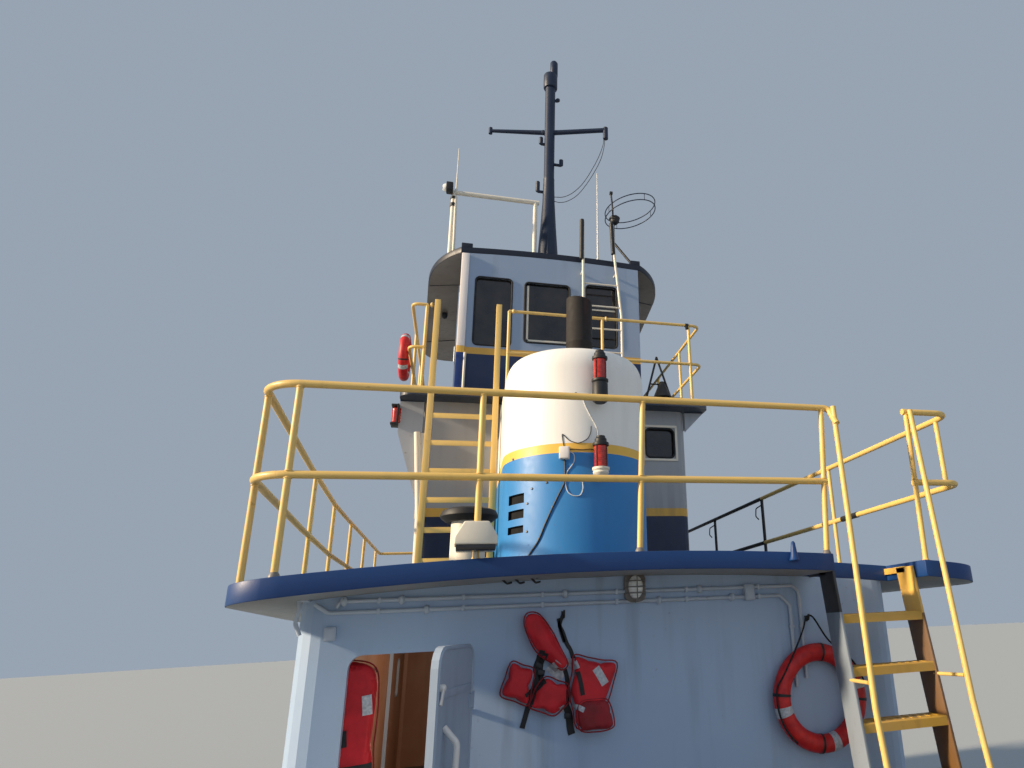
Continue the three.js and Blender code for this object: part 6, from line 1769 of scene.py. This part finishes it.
# %% Searchlight glass and console fittings
bm = bmesh.new()
forward = Matrix.Translation((0, 4.15, 8.965)) @ Matrix.Rotation(-math.pi / 2, 4, "X")
turned(bm, [(0.15, 0.18), (0.172, 0.18), (0.172, 0.197), (0.155, 0.2), (0.15, 0.192)], forward, 32)
turned(bm, [(0, -0.19), (0.06, -0.19), (0.06, -0.2), (0.04, -0.205), (0, -0.205)], forward, 20)
piece("searchlight_bezel", bm, steel, "searchlight")
bm = bmesh.new()
turned(bm, [(0, 0.199), (0.08, 0.197), (0.152, 0.1905), (0.152, 0.186), (0, 0.186)], forward, 32)
piece("searchlight_glass", bm, clear_lens, "searchlight")
bm = bmesh.new()
desk = Matrix.Translation((0, 3.25, 6.725)) @ Matrix.Rotation(math.radians(20.6), 4, "X")
for x in (-0.4, -0.2, 0.0, 0.2):
    turned(bm, [(0, 0.0), (0.06, 0.0), (0.065, 0.012), (0.055, 0.016), (0.053, 0.008), (0, 0.008)],
           desk @ Matrix.Translation((x, 0, 0)), 20)
for x in (0.4, 0.47):
    pipe(bm, [desk @ Vector((x, 0, 0)), desk @ Vector((x, 0, 0.05)), desk @ Vector((x, 0.02, 0.1))], 0.008,
         8)
    turned(bm, [(0, 0.09), (0.018, 0.095), (0.02, 0.115), (0, 0.13)],
           desk @ Matrix.Translation((x, 0.02, 0)), 14)
piece("console_dials_and_levers", bm, box_enamel)

# %% [markdown]
# The helm chair is foam under vinyl on a steel pedestal. Its two cushions are blown up like the jackets'
# panels, a little more, because upholstery is tighter.

# %% Helm chair
# Vinyl, calendered onto cloth and embossed: dark brown, with a 4 mm hide grain and a low gloss.
vinyl, tree, shader, place = surface("upholstery_vinyl", Roughness=0.42)
grain = cloud(tree, place, 4, 3)
tree.links.new(mixed(tree, ramp(tree, cloud(tree, place, 160, 4), 0.3, 0.8), linear(0x1a1715),
                     linear(0x352d28)),
               shader.inputs["Base Color"])
tree.links.new(node(tree, "Bump", {"Height": grain, "Strength": 0.3, "Distance": 0.0008}).outputs[0],
               shader.inputs["Normal"])
CHAIR_Y, CHAIR_FLOOR = 2.45, 5.8003
bm = bmesh.new()
turned(bm, [(0, 0), (0.25, 0), (0.25, 0.02), (0.2, 0.03), (0.05, 0.05), (0.045, 0.06), (0.045, 0.24),
            (0.038, 0.245),
            (0.038, 0.45), (0, 0.45)], Matrix.Translation((0, CHAIR_Y, CHAIR_FLOOR)), 28)
block(bm, (-0.2, CHAIR_Y - 0.2, CHAIR_FLOOR + 0.44), (0.2, CHAIR_Y + 0.2, CHAIR_FLOOR + 0.462), 0.006)
for side in (-1, 1):
    arm = [(side * 0.285, CHAIR_Y - 0.26, CHAIR_FLOOR + 0.62),
           (side * 0.285, CHAIR_Y - 0.26, CHAIR_FLOOR + 0.655),
           (side * 0.285, CHAIR_Y + 0.13, CHAIR_FLOOR + 0.655)]
    pipe(bm, rounded(arm, 0.04, 5), 0.022, 12)
pipe(bm, [(-0.285, CHAIR_Y - 0.265, CHAIR_FLOOR + 0.64), (0, CHAIR_Y - 0.265, CHAIR_FLOOR + 0.64),
          (0.285, CHAIR_Y - 0.265, CHAIR_FLOOR + 0.64)], 0.018, 12)
piece("helm_chair_frame", bm, black_enamel, stands_for=["helm_chair"])


def cushion(name, size, corner, matrix, cap):
    bm = bmesh.new()
    outline = corner_outline(size[0] - 2 * cap, size[1] - 2 * cap, corner, 5)
    plate(bm, outline, size[2] - 2 * cap, Matrix.Translation((0, 0, cap)), 0.015)
    bmesh.ops.recalc_face_normals(bm, faces=bm.faces)
    bm = swollen(bm, cap, 99.0)
    bmesh.ops.transform(bm, matrix=matrix, verts=bm.verts)
    made = piece(name, bm, vinyl, smooth=80)
    welt = bmesh.new()
    line = corner_outline(size[0] - 0.004, size[1] - 0.004, corner, 5)
    rim = [matrix @ Vector((x, y, size[2] / 2)) for x, y in line]
    pipe(welt, rim + [rim[0]], 0.005, 8)
    piece(name + "_welt", welt, vinyl)


cushion("helm_seat_cushion", (0.52, 0.5, 0.11), 0.08,
        Matrix.Translation((0, CHAIR_Y + 0.01, CHAIR_FLOOR + 0.455)), 0.02)
back = Matrix.Translation((0, CHAIR_Y - 0.22, CHAIR_FLOOR + 0.86)) @ Matrix.Rotation(math.pi / 2, 4, "X")
cushion("helm_back_cushion", (0.48, 0.6, 0.1), 0.09, back, 0.018)
